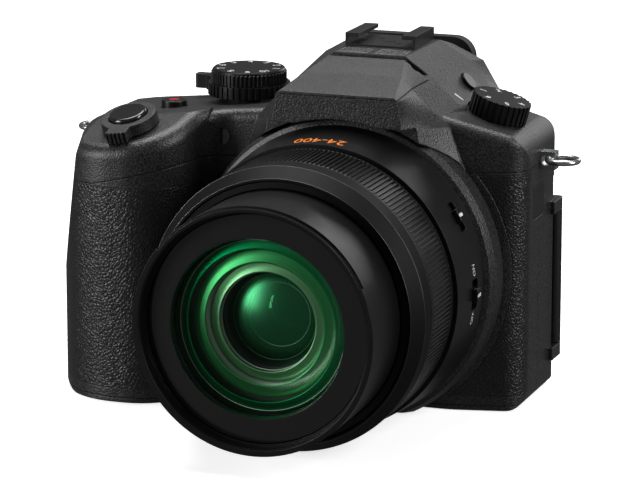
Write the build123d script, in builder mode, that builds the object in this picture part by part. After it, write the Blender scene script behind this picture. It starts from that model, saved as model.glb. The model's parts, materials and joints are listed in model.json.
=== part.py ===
"""Bridge camera with a large zoom lens, built as separate named pieces. Millimetres, +Z up, lens along -Y."""
from build123d import *
import math
import os

os.makedirs("parts", exist_ok=True)

# General fits and walls
wall = 1.8            # plastic of the outer covers
skin = 1.2            # rubber panels glued into their recesses
seam = 0.12           # parting line between two covers
gap = 0.3             # air between pieces that move past each other
fit = 0.05            # radial clearance of a shaft in its hole
over = 1.0            # overrun of every cut
edge = 0.4            # broken edge of small pieces

# The casing seen from above, with the lens axis at x = 0
connector_side = 47.5
grip_side = 84.6
grip_back_side = 79.5
right_front_reach = 12.5
right_front_start = 28.0
front_plane = 17.0
back_plane = 21.0
grip_reach = 41.0
grip_side_front = 24.0
grip_nose_outer = 72.0
grip_nose_inner = 50.0
grip_waist = 43.5
grip_waist_reach = 30.0
grip_root = 41.0
back_corner_radius = 5.0
grip_back_radius = 12.0
grip_outer_radius = 24.0
grip_nose_radius = 20.0
grip_inner_radius = 16.0
grip_root_radius = 8.0
front_bend_radius = 30.0
front_corner_radius = 7.0

# The casing seen from the front, heights above the base
lens_height = 38.6
grip_foot_height = 16.0
grip_neck_height = 57.0
grip_neck_side = 82.0
deck_end_side = 79.6
deck_end_height = 75.6
deck_inner_side = 42.0
deck_inner_height = 79.2
deck_lean_share = 0.05
deck_end_radius = 11.0
roof_middle_height = 89.0
shoulder_height = 75.4
shoulder_radius = 8.0
foot_radius = 4.0
deck_edge_radius = 3.0
grip_top_radius = 4.0
roof_clear = 0.6
block_height = 130.0
grip_top_x = -60.5
grip_top_y = -29.0
grip_top_height = 75.6
grip_top_lean_shares = (-0.12, -0.29, 0.95)
lean_side = 86.5
lean_foot_height = 29.0
lean_corner_side = 81.0
lean_corner_height = 76.0
lean_top_side = 60.0
lean_top_height = 78.4
lean_radius = 11.0
lean_far_side = 60.0
lean_far_height = 110.0
lean_plane_shares = (0.941, 0.339)

# Where the covers part
base_thickness = 1.4
cover_split = 2.0
seam_height = 66.8
seam_grip_height = 61.2
seam_grip_side = 68.0
seam_root_side = 44.0

# The viewfinder hump, from its nose over the lens to its back
nose_reach = 31.0
hump_back = 27.0
hump_half = 36.0
hump_foot = 66.0
hump_top = 95.8
shoe_back = 21.0
hinge_line = 4.0      # where the flash head meets the microphone deck
nose_station_shares = ((0.54, 0.0), (0.515, 0.47), (0.483, 0.738), (0.455, 0.765))
root_station_shares = ((0.89, 0.0), (0.764, 0.436), (0.511, 0.715), (0.382, 0.87))
deck_station_shares = ((0.958, 0.0), (0.806, 0.47), (0.55, 0.758), (0.289, 0.98))
shoe_station_shares = ((0.944, 0.0), (0.79, 0.537), (0.6, 0.825), (0.347, 1.0))
back_station_shares = ((0.93, 0.0), (0.778, 0.537), (0.65, 0.795), (0.4, 0.933))


def placed(x, y, z):
    """A level plane at a point."""
    return Plane(origin=(x, y, z))


def lens_plane(y):
    """A plane across the lens axis that looks forward."""
    return Plane(origin=(0, y, lens_height), x_dir=(1, 0, 0), z_dir=(0, -1, 0))


lens_axis = Axis((0, 0, lens_height), (0, -1, 0))


def lens_profile(*points):
    """A closed half section of a turned lens piece, from points (y, radius)."""
    with BuildSketch(Plane.YZ) as profile:
        with BuildLine():
            Polyline(*[(y, lens_height + radius) for y, radius in points], close=True)
        make_face()
    return profile.sketch


def save(piece, name):
    """Labels a finished piece and writes its file."""
    piece.part.label = name
    export_step(piece.part, "parts/" + name + ".step")


# The grip's sloping top, which carries the shutter button
grip_top = Plane(
    origin=(grip_top_x, grip_top_y, grip_top_height),
    x_dir=(1, 0, -grip_top_lean_shares[0] / grip_top_lean_shares[2]),
    z_dir=grip_top_lean_shares,
)

plan_points = (
    (connector_side, back_plane),
    (-grip_back_side, back_plane),
    (-grip_side, -grip_side_front),
    (-grip_nose_outer, -grip_reach),
    (-grip_nose_inner, -grip_reach),
    (-grip_waist, -grip_waist_reach),
    (-grip_root, -front_plane),
    (right_front_start, -front_plane),
    (connector_side, -right_front_reach),
)
plan_radii = (
    back_corner_radius,
    grip_back_radius,
    grip_outer_radius,
    grip_nose_radius,
    grip_inner_radius,
    grip_inner_radius,
    grip_root_radius,
    front_bend_radius,
    front_corner_radius,
)
side_points = (
    (-grip_side, 0),
    (-grip_side, grip_foot_height),
    (-grip_neck_side, grip_neck_height),
    (-deck_end_side, deck_end_height),
    (-deck_inner_side, deck_inner_height + roof_clear),
    (0, roof_middle_height + roof_clear),
    (connector_side, shoulder_height),
    (connector_side, 0),
)
side_radii = (foot_radius, 0, 0, deck_end_radius, 0, 0, shoulder_radius, foot_radius)


# The grip leans inwards, limited by one outline seen from its front corner
lean_plane = Plane(
    origin=(0, 0, 0),
    x_dir=(lean_plane_shares[0], lean_plane_shares[1], 0),
    z_dir=(lean_plane_shares[1], -lean_plane_shares[0], 0),
)
lean_points = (
    (-lean_side, 0),
    (-lean_side, lean_foot_height),
    (-lean_corner_side, lean_corner_height),
    (-lean_top_side, lean_top_height),
    (lean_far_side, lean_far_height),
    (lean_far_side, 0),
)
lean_radii = (foot_radius, 0, lean_radius, 0, 0, 0)


def roof_plane(x_low, z_low, x_high, z_high, lean_share):
    """A plane through two points of the roof line at the front, facing up, that falls to the rear."""
    run, rise = x_high - x_low, z_high - z_low
    return Plane(
        origin=(x_low, -front_plane, z_low),
        x_dir=(run, 0, rise),
        z_dir=(-rise, lean_share * run, run),
    )


left_roof = roof_plane(
    -deck_end_side, deck_end_height, -deck_inner_side, deck_inner_height, deck_lean_share
)
right_roof = roof_plane(0, roof_middle_height, connector_side, shoulder_height, 0)


def plan(level, inset):
    """The casing's outline seen from above, drawn in by an inset."""
    with BuildSketch(Plane.XY.offset(level)) as outline:
        with BuildLine():
            FilletPolyline(*plan_points, radius=plan_radii, close=True)
        make_face()
        if inset:
            offset(amount=-inset)
    return outline.sketch


def block(roof, inset, radius):
    """The plan raised to one sloping roof plane, with its top edge rounded all round."""
    with BuildPart() as form:
        extrude(plan(inset, inset), amount=block_height)
        split(bisect_by=roof.offset(-inset), keep=Keep.BOTTOM)
        if radius:
            fillet(form.faces().sort_by(Axis.Z)[-1].edges(), radius)
    return form.part


def casing(inset, rounded=True):
    """The closed outer form of the body without its hump, drawn in by an inset."""
    radius = deck_edge_radius if rounded else 0
    with BuildPart() as right_half:
        add(block(right_roof, inset, radius))
        split(bisect_by=Plane.YZ, keep=Keep.TOP)
    with BuildPart() as grip_front:
        add(block(grip_top, inset, grip_top_radius if rounded else 0))
        split(bisect_by=Plane.XZ.offset(front_plane), keep=Keep.TOP)
        split(bisect_by=Plane.YZ.offset(-grip_root), keep=Keep.BOTTOM)
    with BuildPart() as form:
        add(block(left_roof, inset, radius))
        with BuildSketch(Plane.XY.offset(-over)):
            with Locations((-grip_root - grip_side / 2, -front_plane - grip_side / 2)):
                Rectangle(grip_side, grip_side)
            with Locations((grip_side / 2, 0)):
                Rectangle(grip_side, grip_side)
        extrude(amount=roof_middle_height + wall, mode=Mode.SUBTRACT)
        add([right_half.part, grip_front.part])
        for outline, radii, plane in (
            (side_points, side_radii, Plane.XZ),
            (lean_points, lean_radii, lean_plane),
        ):
            with BuildSketch(plane):
                with BuildLine():
                    FilletPolyline(*outline, radius=radii, close=True)
                make_face()
                if inset:
                    offset(amount=-inset)
            extrude(amount=grip_side * 2, both=True, mode=Mode.INTERSECT)
    return form.part


def station(y, shares, inset):
    """One section across the hump, widened by a table of shares and drawn in by an inset."""
    rise = hump_top - hump_foot
    right = [(width * hump_half, hump_foot + height * rise) for width, height in shares]
    left = [(-x, z) for x, z in reversed(right)]
    with BuildSketch(Plane.XZ.offset(-y)) as section:
        with BuildLine():
            Polyline(*right, *left, close=True)
        make_face()
        if inset:
            offset(amount=-inset, kind=Kind.INTERSECTION)
    return section.sketch


def hump(inset):
    """The closed form of the hump, drawn in by an inset."""
    with BuildPart() as form:
        loft(
            [
                station(-nose_reach + inset, nose_station_shares, inset),
                station(-front_plane, root_station_shares, inset),
                station(-hinge_line, deck_station_shares, inset),
                station(shoe_back, shoe_station_shares, inset),
                station(hump_back - inset, back_station_shares, inset),
            ],
            ruled=True,
        )
    return form.part


def zone(x_low, x_high, y_low, y_high, z_low, z_high):
    """A plain box between its lowest and highest places, used to cut a region out of a form."""
    with BuildPart() as box:
        with BuildSketch(placed((x_low + x_high) / 2, (y_low + y_high) / 2, z_low)):
            Rectangle(x_high - x_low, y_high - y_low)
        extrude(amount=z_high - z_low)
    return box.part


def tunnel(radius, y_back, y_front):
    """A cylinder round the lens axis."""
    with BuildPart() as bore:
        with BuildSketch(lens_plane(y_back)):
            Circle(radius)
        extrude(amount=y_back - y_front)
    return bore.part


# The lens, distances along the axis from the body's mid depth
rim_reach = 95.2
rim_radius = 32.8
hood_rim_radius = 32.2
hood_rim_length = 1.6
hood_rim_start = 25.0
hood_rim_turn = 118.0
filter_radius = 31.0
filter_depth = 3.6
bezel_seat_radius = 30.4
front_tube_wall = 1.2
front_tube_back = 33.0
lens_cell_wall = 1.2
lens_cell_reach = 88.0
lens_cell_back = 76.0
bezel_outer_reach = 91.2
bezel_inner_reach = 91.5
bezel_inner_radius = 23.8
bezel_lip = 0.6
bezel_thickness = 1.5
glass_radius = 24.4
glass_apex = 91.4
glass_edge_reach = 89.8
glass_back_reach = 83.0
glass_hollow = 3.0
glass_land = 2.0
mid_radius = 34.8
mid_wall = 1.2
mid_reach = 73.4
mid_back = 18.0
mid_lip = 1.2
cam_wall = 0.8
cam_reach = 63.4
cam_back = 12.0
cam_turn = 60.0
cam_slots = 3
cam_pin_radius = 0.9
cam_pin_back = 22.0
mid_travel = 28.0
sleeve_wall = 0.8
trim_reach = 74.0
trim_edge_reach = 69.7
trim_edge_radius = 38.4
trim_inner_radius = 35.4
ring_back = 45.5
ring_front = 64.2
ring_radius = 38.4
ring_rib_depth = 0.5
ring_ribs = 72
ring_rib_share = 0.55
barrel_front_radius = 39.4
barrel_rear_radius = 40.9
barrel_rear = 27.2
collar_front = 26.4
collar_radius = 43.2
collar_round = 3.2
collar_lip_share = 0.25
collar_slope_share = 0.333333
barrel_back = 7.0
barrel_end_wall = 1.5
rear_window_radius = 12.0
barrel_foot = 1.6
cover_foot = 0.3
flange_reach = 9.0
flange_thickness = 1.5
flange_radius = 40.5

cam_radius = mid_radius + gap + cam_wall
sleeve_bore = cam_radius + gap
sleeve_radius = sleeve_bore + sleeve_wall

# Turned pieces of the zoom, from the rim back
with BuildPart() as front_barrel:
    inner = rim_radius - front_tube_wall
    cell = glass_radius + gap
    revolve(
        lens_profile(
            (-rim_reach, filter_radius + edge),
            (-rim_reach, rim_radius),
            (-front_tube_back, rim_radius),
            (-front_tube_back, inner),
            (-lens_cell_reach + lens_cell_wall, inner),
            (-lens_cell_reach + lens_cell_wall, cell + lens_cell_wall),
            (-lens_cell_back, cell + lens_cell_wall),
            (-lens_cell_back, cell - lens_cell_wall),
            (-glass_back_reach + gap, cell - lens_cell_wall),
            (-glass_back_reach + gap, cell),
            (-lens_cell_reach, cell),
            (-lens_cell_reach, bezel_seat_radius),
            (-rim_reach + filter_depth, bezel_seat_radius),
            (-rim_reach + filter_depth, filter_radius),
            (-rim_reach + edge, filter_radius),
        ),
        axis=lens_axis,
    )
    with BuildSketch(lens_plane(-rim_reach - over)):
        with BuildLine():
            outer = CenterArc((0, 0), rim_radius + over, hood_rim_start, hood_rim_turn)
            inner_arc = CenterArc((0, 0), hood_rim_radius, hood_rim_start, hood_rim_turn)
            Line(outer @ 0, inner_arc @ 0)
            Line(outer @ 1, inner_arc @ 1)
        make_face()
    extrude(amount=-hood_rim_length - over, mode=Mode.SUBTRACT)
save(front_barrel, "front_barrel")

with BuildPart() as front_bezel:
    bezel_radius = bezel_seat_radius - gap
    revolve(
        lens_profile(
            (-bezel_outer_reach, bezel_radius),
            (-bezel_inner_reach, bezel_inner_radius + bezel_lip),
            (-bezel_inner_reach, bezel_inner_radius),
            (-bezel_inner_reach + bezel_thickness, glass_radius - over),
            (-bezel_inner_reach + bezel_thickness, cell + lens_cell_wall),
            (-lens_cell_reach, cell + lens_cell_wall),
            (-lens_cell_reach, bezel_radius),
        ),
        axis=lens_axis,
    )
save(front_bezel, "front_bezel")

def cap_radius(radius, sag):
    """The radius of the sphere whose cap of a radius is as high as the sag."""
    return (radius * radius + sag * sag) / (2 * sag)


with BuildPart() as front_lens:
    add(tunnel(glass_radius, -glass_back_reach, -glass_apex))
    front_curve = cap_radius(glass_radius, glass_apex - glass_edge_reach)
    back_curve = cap_radius(glass_radius - glass_land, glass_hollow)
    with Locations((0, front_curve - glass_apex, lens_height)):
        Sphere(front_curve, mode=Mode.INTERSECT)
    with Locations((0, back_curve - glass_back_reach - glass_hollow, lens_height)):
        Sphere(back_curve, mode=Mode.SUBTRACT)
save(front_lens, "front_lens")

# Cam tube with three helical slots that the pins of the middle barrel ride in
slot_reach = 2 * cam_wall
cam_pitch = mid_travel * 360 / cam_turn
slot_clear = gap + fit
slot_start = cam_pin_back - cam_pin_radius - slot_clear
slot_length = mid_travel + 2 * (cam_pin_radius + slot_clear)
with BuildLine() as cam_path:
    Helix(
        pitch=cam_pitch,
        height=slot_length,
        radius=mid_radius + gap + cam_wall / 2,
        center=(0, -slot_start, lens_height),
        direction=(0, -1, 0),
        lefthand=True,
    )
cam_track = cam_path.line.edges()[0]
pin_share = (cam_pin_radius + slot_clear) / slot_length
pin_place = cam_track @ pin_share
pin_angle = math.degrees(math.atan2(pin_place.Z - lens_height, pin_place.X))

with BuildPart() as cam_tube:
    revolve(
        lens_profile(
            (-cam_reach, mid_radius + gap),
            (-cam_reach, cam_radius),
            (-cam_back, cam_radius),
            (-cam_back, mid_radius + gap),
        ),
        axis=lens_axis,
    )
    start = cam_track @ 0
    outward = Vector(start.X, 0, start.Z - lens_height)
    with BuildSketch(Plane(origin=start, x_dir=outward, z_dir=cam_track % 0)):
        Rectangle(2 * slot_reach, 2 * (cam_pin_radius + slot_clear))
    slot = sweep(path=cam_track, is_frenet=True, mode=Mode.PRIVATE)
    for turn in range(cam_slots):
        add(slot.rotate(lens_axis, turn * 360 / cam_slots), mode=Mode.SUBTRACT)
save(cam_tube, "cam_tube")

with BuildPart() as mid_barrel:
    revolve(
        lens_profile(
            (-mid_reach, mid_radius),
            (-mid_back, mid_radius),
            (-mid_back, mid_radius - mid_wall),
            (-mid_reach + mid_lip, mid_radius - mid_wall),
            (-mid_reach + mid_lip, rim_radius + gap),
            (-mid_reach, rim_radius + gap),
        ),
        axis=lens_axis,
    )
    for turn in range(cam_slots):
        angle = math.radians(pin_angle + turn * 360 / cam_slots)
        across = Vector(math.cos(angle), 0, math.sin(angle))
        foot = Vector(0, -cam_pin_back, lens_height) + across * (mid_radius - mid_wall / 2)
        with BuildSketch(Plane(origin=foot, z_dir=across)):
            Circle(cam_pin_radius)
        extrude(amount=mid_wall / 2 + gap + cam_wall)
save(mid_barrel, "mid_barrel")

iris_reach = 25.0
iris_thickness = 3.0
iris_hole = 9.0
iris_blades = 9
iris_blade_thickness = 0.4
iris_blade_radius = 20.0
with BuildPart() as iris_unit:
    revolve(
        lens_profile(
            (-iris_reach, mid_radius - mid_wall),
            (-iris_reach + iris_thickness, mid_radius - mid_wall),
            (-iris_reach + iris_thickness, iris_blade_radius),
            (-iris_reach, iris_blade_radius),
        ),
        axis=lens_axis,
    )
    with BuildSketch(lens_plane(-iris_reach + iris_thickness / 2)):
        Circle(iris_blade_radius + over)
        RegularPolygon(iris_hole, iris_blades, mode=Mode.SUBTRACT)
    extrude(amount=iris_blade_thickness)
save(iris_unit, "iris_unit")

rear_lens_margin = 2.0
rear_lens_thickness = 7.5
rear_bulge = 1.5
with BuildPart() as rear_lens:
    seat = barrel_back - barrel_end_wall
    rear_lens_radius = rear_window_radius + rear_lens_margin
    rear_curve = cap_radius(rear_lens_radius, rear_bulge)
    add(tunnel(rear_lens_radius, seat, seat - rear_lens_thickness))
    with Locations((0, seat - rear_lens_thickness + rear_curve, lens_height)):
        Sphere(rear_curve, mode=Mode.INTERSECT)
save(rear_lens, "rear_lens")

# The ring under the fingers, with its ribs
with BuildPart() as lens_ring:
    with BuildSketch(lens_plane(-ring_back - seam)):
        Circle(ring_radius)
        with PolarLocations(ring_radius, ring_ribs):
            Rectangle(
                2 * ring_rib_depth,
                ring_radius * 2 * math.pi / ring_ribs * (1 - ring_rib_share),
                mode=Mode.SUBTRACT,
            )
        Circle(sleeve_radius + gap, mode=Mode.SUBTRACT)
    extrude(amount=ring_front - ring_back - 2 * seam)
save(lens_ring, "lens_ring")

with BuildPart() as trim_ring:
    revolve(
        lens_profile(
            (-ring_front, sleeve_bore),
            (-ring_front, trim_edge_radius),
            (-trim_edge_reach, trim_edge_radius),
            (-trim_reach, trim_inner_radius + edge),
            (-trim_reach, mid_radius + gap),
            (-trim_edge_reach, mid_radius + gap),
            (-trim_edge_reach, sleeve_bore),
        ),
        axis=lens_axis,
    )
save(trim_ring, "trim_ring")

# Two switches on the side of the barrel, each in its own pocket
switch_corner_share = 0.25
switch_angles = (29.5, -1.5)
switch_reach = 33.5
switch_pocket_length = 8.4
switch_pocket_width = 3.8
switch_pocket_floor = 39.0
switch_width = 3.0
switch_length = 4.0
switch_top = 41.6


def switch_block(angle, radius_low, radius_high, length, width):
    """A block on the side of the barrel, at an angle above the horizontal."""
    turn = math.radians(angle)
    across = Vector(math.cos(turn), 0, math.sin(turn))
    foot = Vector(0, -switch_reach, lens_height) + across * radius_low
    with BuildPart() as piece:
        with BuildSketch(Plane(origin=foot, x_dir=(0, 1, 0), z_dir=across)):
            RectangleRounded(width, length, width * switch_corner_share)
        extrude(amount=radius_high - radius_low)
    return piece.part


with BuildPart() as fixed_barrel:
    revolve(
        lens_profile(
            (-ring_front, sleeve_bore),
            (-ring_front, sleeve_radius),
            (-ring_back, sleeve_radius),
            (-ring_back, barrel_front_radius),
            (-barrel_rear, barrel_rear_radius),
            (-collar_front, barrel_rear_radius),
            (-collar_front, sleeve_radius),
            (-flange_reach - flange_thickness, sleeve_radius),
            (-flange_reach - flange_thickness, flange_radius),
            (-flange_reach, flange_radius),
            (-flange_reach, sleeve_radius),
            (barrel_back, sleeve_radius),
            (barrel_back, rear_window_radius),
            (barrel_back - barrel_end_wall, rear_window_radius),
            (barrel_back - barrel_end_wall, sleeve_bore),
        ),
        axis=lens_axis,
    )
    for angle in switch_angles:
        add(
            switch_block(
                angle,
                switch_pocket_floor,
                barrel_rear_radius + over,
                switch_pocket_length,
                switch_pocket_width,
            ),
            mode=Mode.SUBTRACT,
        )
    add(
        zone(-grip_side, grip_side, -ring_back, back_plane, -grip_reach, cover_foot),
        mode=Mode.SUBTRACT,
    )
    add(
        zone(-grip_side, grip_side, -front_plane, back_plane, -grip_reach, barrel_foot),
        mode=Mode.SUBTRACT,
    )
save(fixed_barrel, "fixed_barrel")

for name, angle in (("upper_lens_switch", switch_angles[0]), ("lower_lens_switch", switch_angles[1])):
    with BuildPart() as lens_switch:
        add(switch_block(angle, switch_pocket_floor + gap, switch_top, switch_length, switch_width))
        fillet(lens_switch.edges().group_by(SortBy.LENGTH)[-1], edge / 2)
    save(lens_switch, name)

# Covers
nose_floor = 1.0
nose_plate_bottom = 80.2
skin_inner_side = 41.5
skin_foot = 4.0
skin_top = 60.6
skin_back = 3.0
side_skin_inner = 27.0
side_skin_radius = 44.5
side_skin_top = 66.0
side_skin_back = -6.5


def cylinder(plane, radius, low, high):
    """A cylinder on a plane, from a low to a high distance along its normal."""
    with BuildPart() as piece:
        with BuildSketch(plane.offset(low)):
            Circle(radius)
        extrude(amount=high - low)
    return piece.part


def back_point(x, z, y=back_plane):
    """A plane on the back that looks to the rear."""
    return Plane(origin=(x, y, z), x_dir=(-1, 0, 0), z_dir=(0, 1, 0))


def common(first, second):
    """What two forms have in common."""
    with BuildPart() as piece:
        add(first)
        add(second, mode=Mode.INTERSECT)
    return piece.part


def body_form(inset, floor):
    """The body with its hump, drawn in by an inset and cut free of the barrel under the nose."""
    with BuildPart() as crown:
        add(hump(inset))
        add(
            tunnel(collar_radius + seam + floor, -front_plane + inset, -nose_reach - over),
            mode=Mode.SUBTRACT,
        )
        lip = zone(
            -hump_half,
            hump_half,
            -nose_reach - over,
            -collar_front - seam + inset,
            hump_foot - over,
            nose_plate_bottom + floor,
        )
        add(lip, mode=Mode.SUBTRACT)
    with BuildPart() as form:
        add(casing(inset))
        add(crown.part)
    return form.part


def top_region(rise):
    """Everything above the seam of the top cover, moved up by a rise."""
    with BuildPart() as region:
        with BuildSketch(Plane.XZ):
            with BuildLine():
                Polyline(
                    (-grip_side - over, seam_grip_height + rise),
                    (-seam_grip_side, seam_grip_height + rise),
                    (-seam_root_side, seam_height + rise),
                    (grip_side, seam_height + rise),
                    (grip_side, block_height),
                    (-grip_side - over, block_height),
                    close=True,
                )
            make_face()
        extrude(amount=grip_side, both=True)
    return region.part


outer_form = body_form(0, 0)
inner_form = body_form(wall, nose_floor)
skin_form = casing(skin, rounded=False)

# Seats of the controls: plane, radius, depth below the plane
mode_dial_x = -38.7
mode_dial_y = 5.0
mode_dial_z = 80.0
mode_dial_seat = placed(mode_dial_x, mode_dial_y, mode_dial_z)
mode_dial_radius = 11.6
mode_dial_height = 7.7
mode_dial_tier = 3.6
mode_dial_tier_radius = 10.3
mode_dial_shaft = 3.0
drive_dial_x = 35.0
drive_dial_y = 2.5
drive_dial_radius = 8.2
drive_dial_height = 5.6
drive_dial_shaft = 2.0
drive_well_reach = 24.6
right_rise_share = (shoulder_height - roof_middle_height) / connector_side
drive_dial_seat = Plane(
    origin=(drive_dial_x, drive_dial_y, roof_middle_height + right_rise_share * drive_dial_x),
    x_dir=(1, 0, right_rise_share),
    z_dir=(-right_rise_share, 0, 1),
)
record_x = -57.0
record_y = -6.0
record_z = 77.2
record_seat = placed(record_x, record_y, record_z)
record_radius = 3.6
record_top = 2.0
record_floor = 1.8
lever_x = -51.2
lever_y = 15.6
lever_z = 77.6
lever_seat = placed(lever_x, lever_y, lever_z)
lever_disc_radius = 4.4
lever_low = 1.2
lever_high = 5.4
lever_shaft = 1.6
lever_arm_reach = 7.6
lever_arm_width = 3.0
flash_button_x = 23.9
flash_button_y = 11.0
flash_button_z = 86.2
flash_button_side_share = 0.75
flash_button_up_share = 0.66
flash_button_seat = Plane(
    origin=(flash_button_x, flash_button_y, flash_button_z),
    x_dir=(flash_button_up_share, 0, -flash_button_side_share),
    z_dir=(flash_button_side_share, 0, flash_button_up_share),
)
flash_button_radius = 2.6
flash_button_floor = 2.0
flash_button_top = 0.9
button_stem = 1.5
diopter_x = 22.8
diopter_z = 79.0
diopter_seat = back_point(diopter_x, diopter_z, hump_back)
press = 0.6
dial_clear = 0.5
shaft_depth = 5.5

# Shutter button and zoom lever on the grip's sloping top
boss_radius = 5.55
boss_height = 1.2
boss_wall = 3.0
shutter_radius = 5.3
shutter_low = 2.6
shutter_high = 4.6
shutter_stem = 2.5
shutter_stem_depth = 5.0
zoom_ring_inner = 5.6
zoom_ring_radius = 7.9
zoom_ring_low = 0.3
zoom_ring_high = 3.5
zoom_tab_reach = 11.0
zoom_tab_width = 6.0
zoom_tab_ribs = 5
zoom_tab_rib_depth = 0.5

# Rear dial, standing in a slot at the back
rear_dial_x = -64.0
rear_dial_y = 15.5
rear_dial_radius = 8.0
rear_dial_low = 69.0
rear_dial_high = 72.6
rear_dial_shaft = 1.5
rear_dial_roof = 75.4

# Flash head
flash_seam_front = 88.0
flash_seam_back = 89.6
pivot_y = -6.3
pivot_z = 92.4
knuckle_radius = 1.7
knuckle_half = 8.0
ear_radius = 1.6
ear_thickness = 2.0
pin_radius = 0.7
ledge_height = 90.4
deck_wall = 1.8
core_half = 12.0
core_front = 25.0
core_back = 14.0
core_low = 83.4
core_high = 89.4
window_depth = 1.5
flash_well_half = 14.0
flash_well_low = 83.1

# Microphones and shoe
grille_inner = 1.0
grille_outer = 9.9
grille_front = 3.2
grille_back = 4.4
grille_top = 95.25
grille_thickness = 0.7
grille_slots = 7
grille_slot_width = 0.5
shoe_half = 10.2
shoe_front = 5.5
shoe_rear = 22.5
shoe_floor_low = 95.0
shoe_floor = 96.0
shoe_slot_half = 9.35
shoe_lip_half = 6.3
shoe_lip_low = 98.0
shoe_lip_high = 99.1
contacts_half = 6.0
contacts_front = 7.0
contacts_rear = 21.0
contacts_low = 95.4
contact_radius = 1.0
centre_contact_radius = 2.0
contact_rise = 0.1
contact_pitch = 3.5

# Strap lugs, set into the sides
lug_places = ((46.4, 4.0, 67.6, 1), (-80.0, 8.0, 67.0, -1))
lug_reach = 5.4
lug_width = 3.4
lug_height = 5.0
lug_eye = 1.5
lug_eye_reach = 2.9


def lug_block(place, reach, clear):
    """The block of a strap lug, or its seat when a clearance is given."""
    x, y, z, side = place
    low, high = sorted((x - side * clear, x + side * reach))
    return zone(
        low,
        high,
        y - lug_width / 2 - clear,
        y + lug_width / 2 + clear,
        z - lug_height / 2 - clear,
        z + lug_height / 2 + clear,
    )


with BuildPart() as skin_zone:
    add(zone(-grip_side - over, -skin_inner_side, -grip_reach - over, skin_back, skin_foot, skin_top))
    add(tunnel(collar_radius + seam, -front_plane + wall, -collar_front - seam), mode=Mode.SUBTRACT)
with BuildPart() as side_zone:
    add(
        zone(
            side_skin_inner,
            connector_side + over,
            -front_plane - over,
            side_skin_back,
            skin_foot,
            side_skin_top,
        )
    )
    add(tunnel(side_skin_radius, 0, -front_plane - over), mode=Mode.SUBTRACT)

with BuildPart() as hull_skin:
    add(outer_form)
    add(skin_form, mode=Mode.SUBTRACT)
for name, region in (("grip_skin", skin_zone.part), ("side_skin", side_zone.part)):
    with BuildPart() as panel:
        add(common(hull_skin.part, region))
    save(panel, name)

with BuildPart() as shell:
    add(outer_form)
    add(inner_form, mode=Mode.SUBTRACT)
    extrude(plan(-over, wall), amount=wall + 2 * over, mode=Mode.SUBTRACT)
    for region in (skin_zone.part, side_zone.part):
        add(common(hull_skin.part, region), mode=Mode.SUBTRACT)
    add(tunnel(sleeve_radius + fit, -front_plane + wall + over, -front_plane - over), mode=Mode.SUBTRACT)
    for seat, radius, floor in (
        (mode_dial_seat, mode_dial_radius + dial_clear, 0),
        (drive_dial_seat, drive_dial_radius + dial_clear, 0),
        (record_seat, record_radius + gap, -record_floor),
        (flash_button_seat, flash_button_radius + gap, -flash_button_floor),
    ):
        add(common(cylinder(seat, radius + wall, floor - wall, drive_dial_radius * 2), outer_form))
        add(cylinder(seat, radius, floor, drive_well_reach), mode=Mode.SUBTRACT)

    for place in lug_places:
        add(lug_block(place, lug_reach, fit), mode=Mode.SUBTRACT)

shaft_seats = (
    (mode_dial_seat, mode_dial_shaft, shaft_depth),
    (drive_dial_seat, drive_dial_shaft, shaft_depth),
    (record_seat, record_radius / 2, shaft_depth),
    (lever_seat, lever_shaft, shaft_depth),
    (flash_button_seat, flash_button_radius / 2, shaft_depth),
    (diopter_seat, button_stem, wall + over),
    (grip_top, shutter_stem, shutter_stem_depth + wall),
)
lamp_x = -38.1
lamp_height = 72.1
lamp_radius = 2.2
lamp_proud = 0.4
lamp_depth = 1.4
lamp_plane = Plane(origin=(lamp_x, -front_plane, lamp_height), x_dir=(1, 0, 0), z_dir=(0, -1, 0))
seam_plane = Plane(
    origin=(0, -nose_reach, flash_seam_front),
    x_dir=(1, 0, 0),
    z_dir=(0, flash_seam_front - flash_seam_back, nose_reach - hinge_line),
)
pivot_plane = Plane(origin=(0, pivot_y, pivot_z), x_dir=(0, 1, 0), z_dir=(1, 0, 0))

with BuildPart() as cap_form:
    add(zone(-hump_half, hump_half, -nose_reach - over, pivot_y, flash_seam_front - over, block_height))
    split(bisect_by=seam_plane, keep=Keep.TOP)

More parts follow.
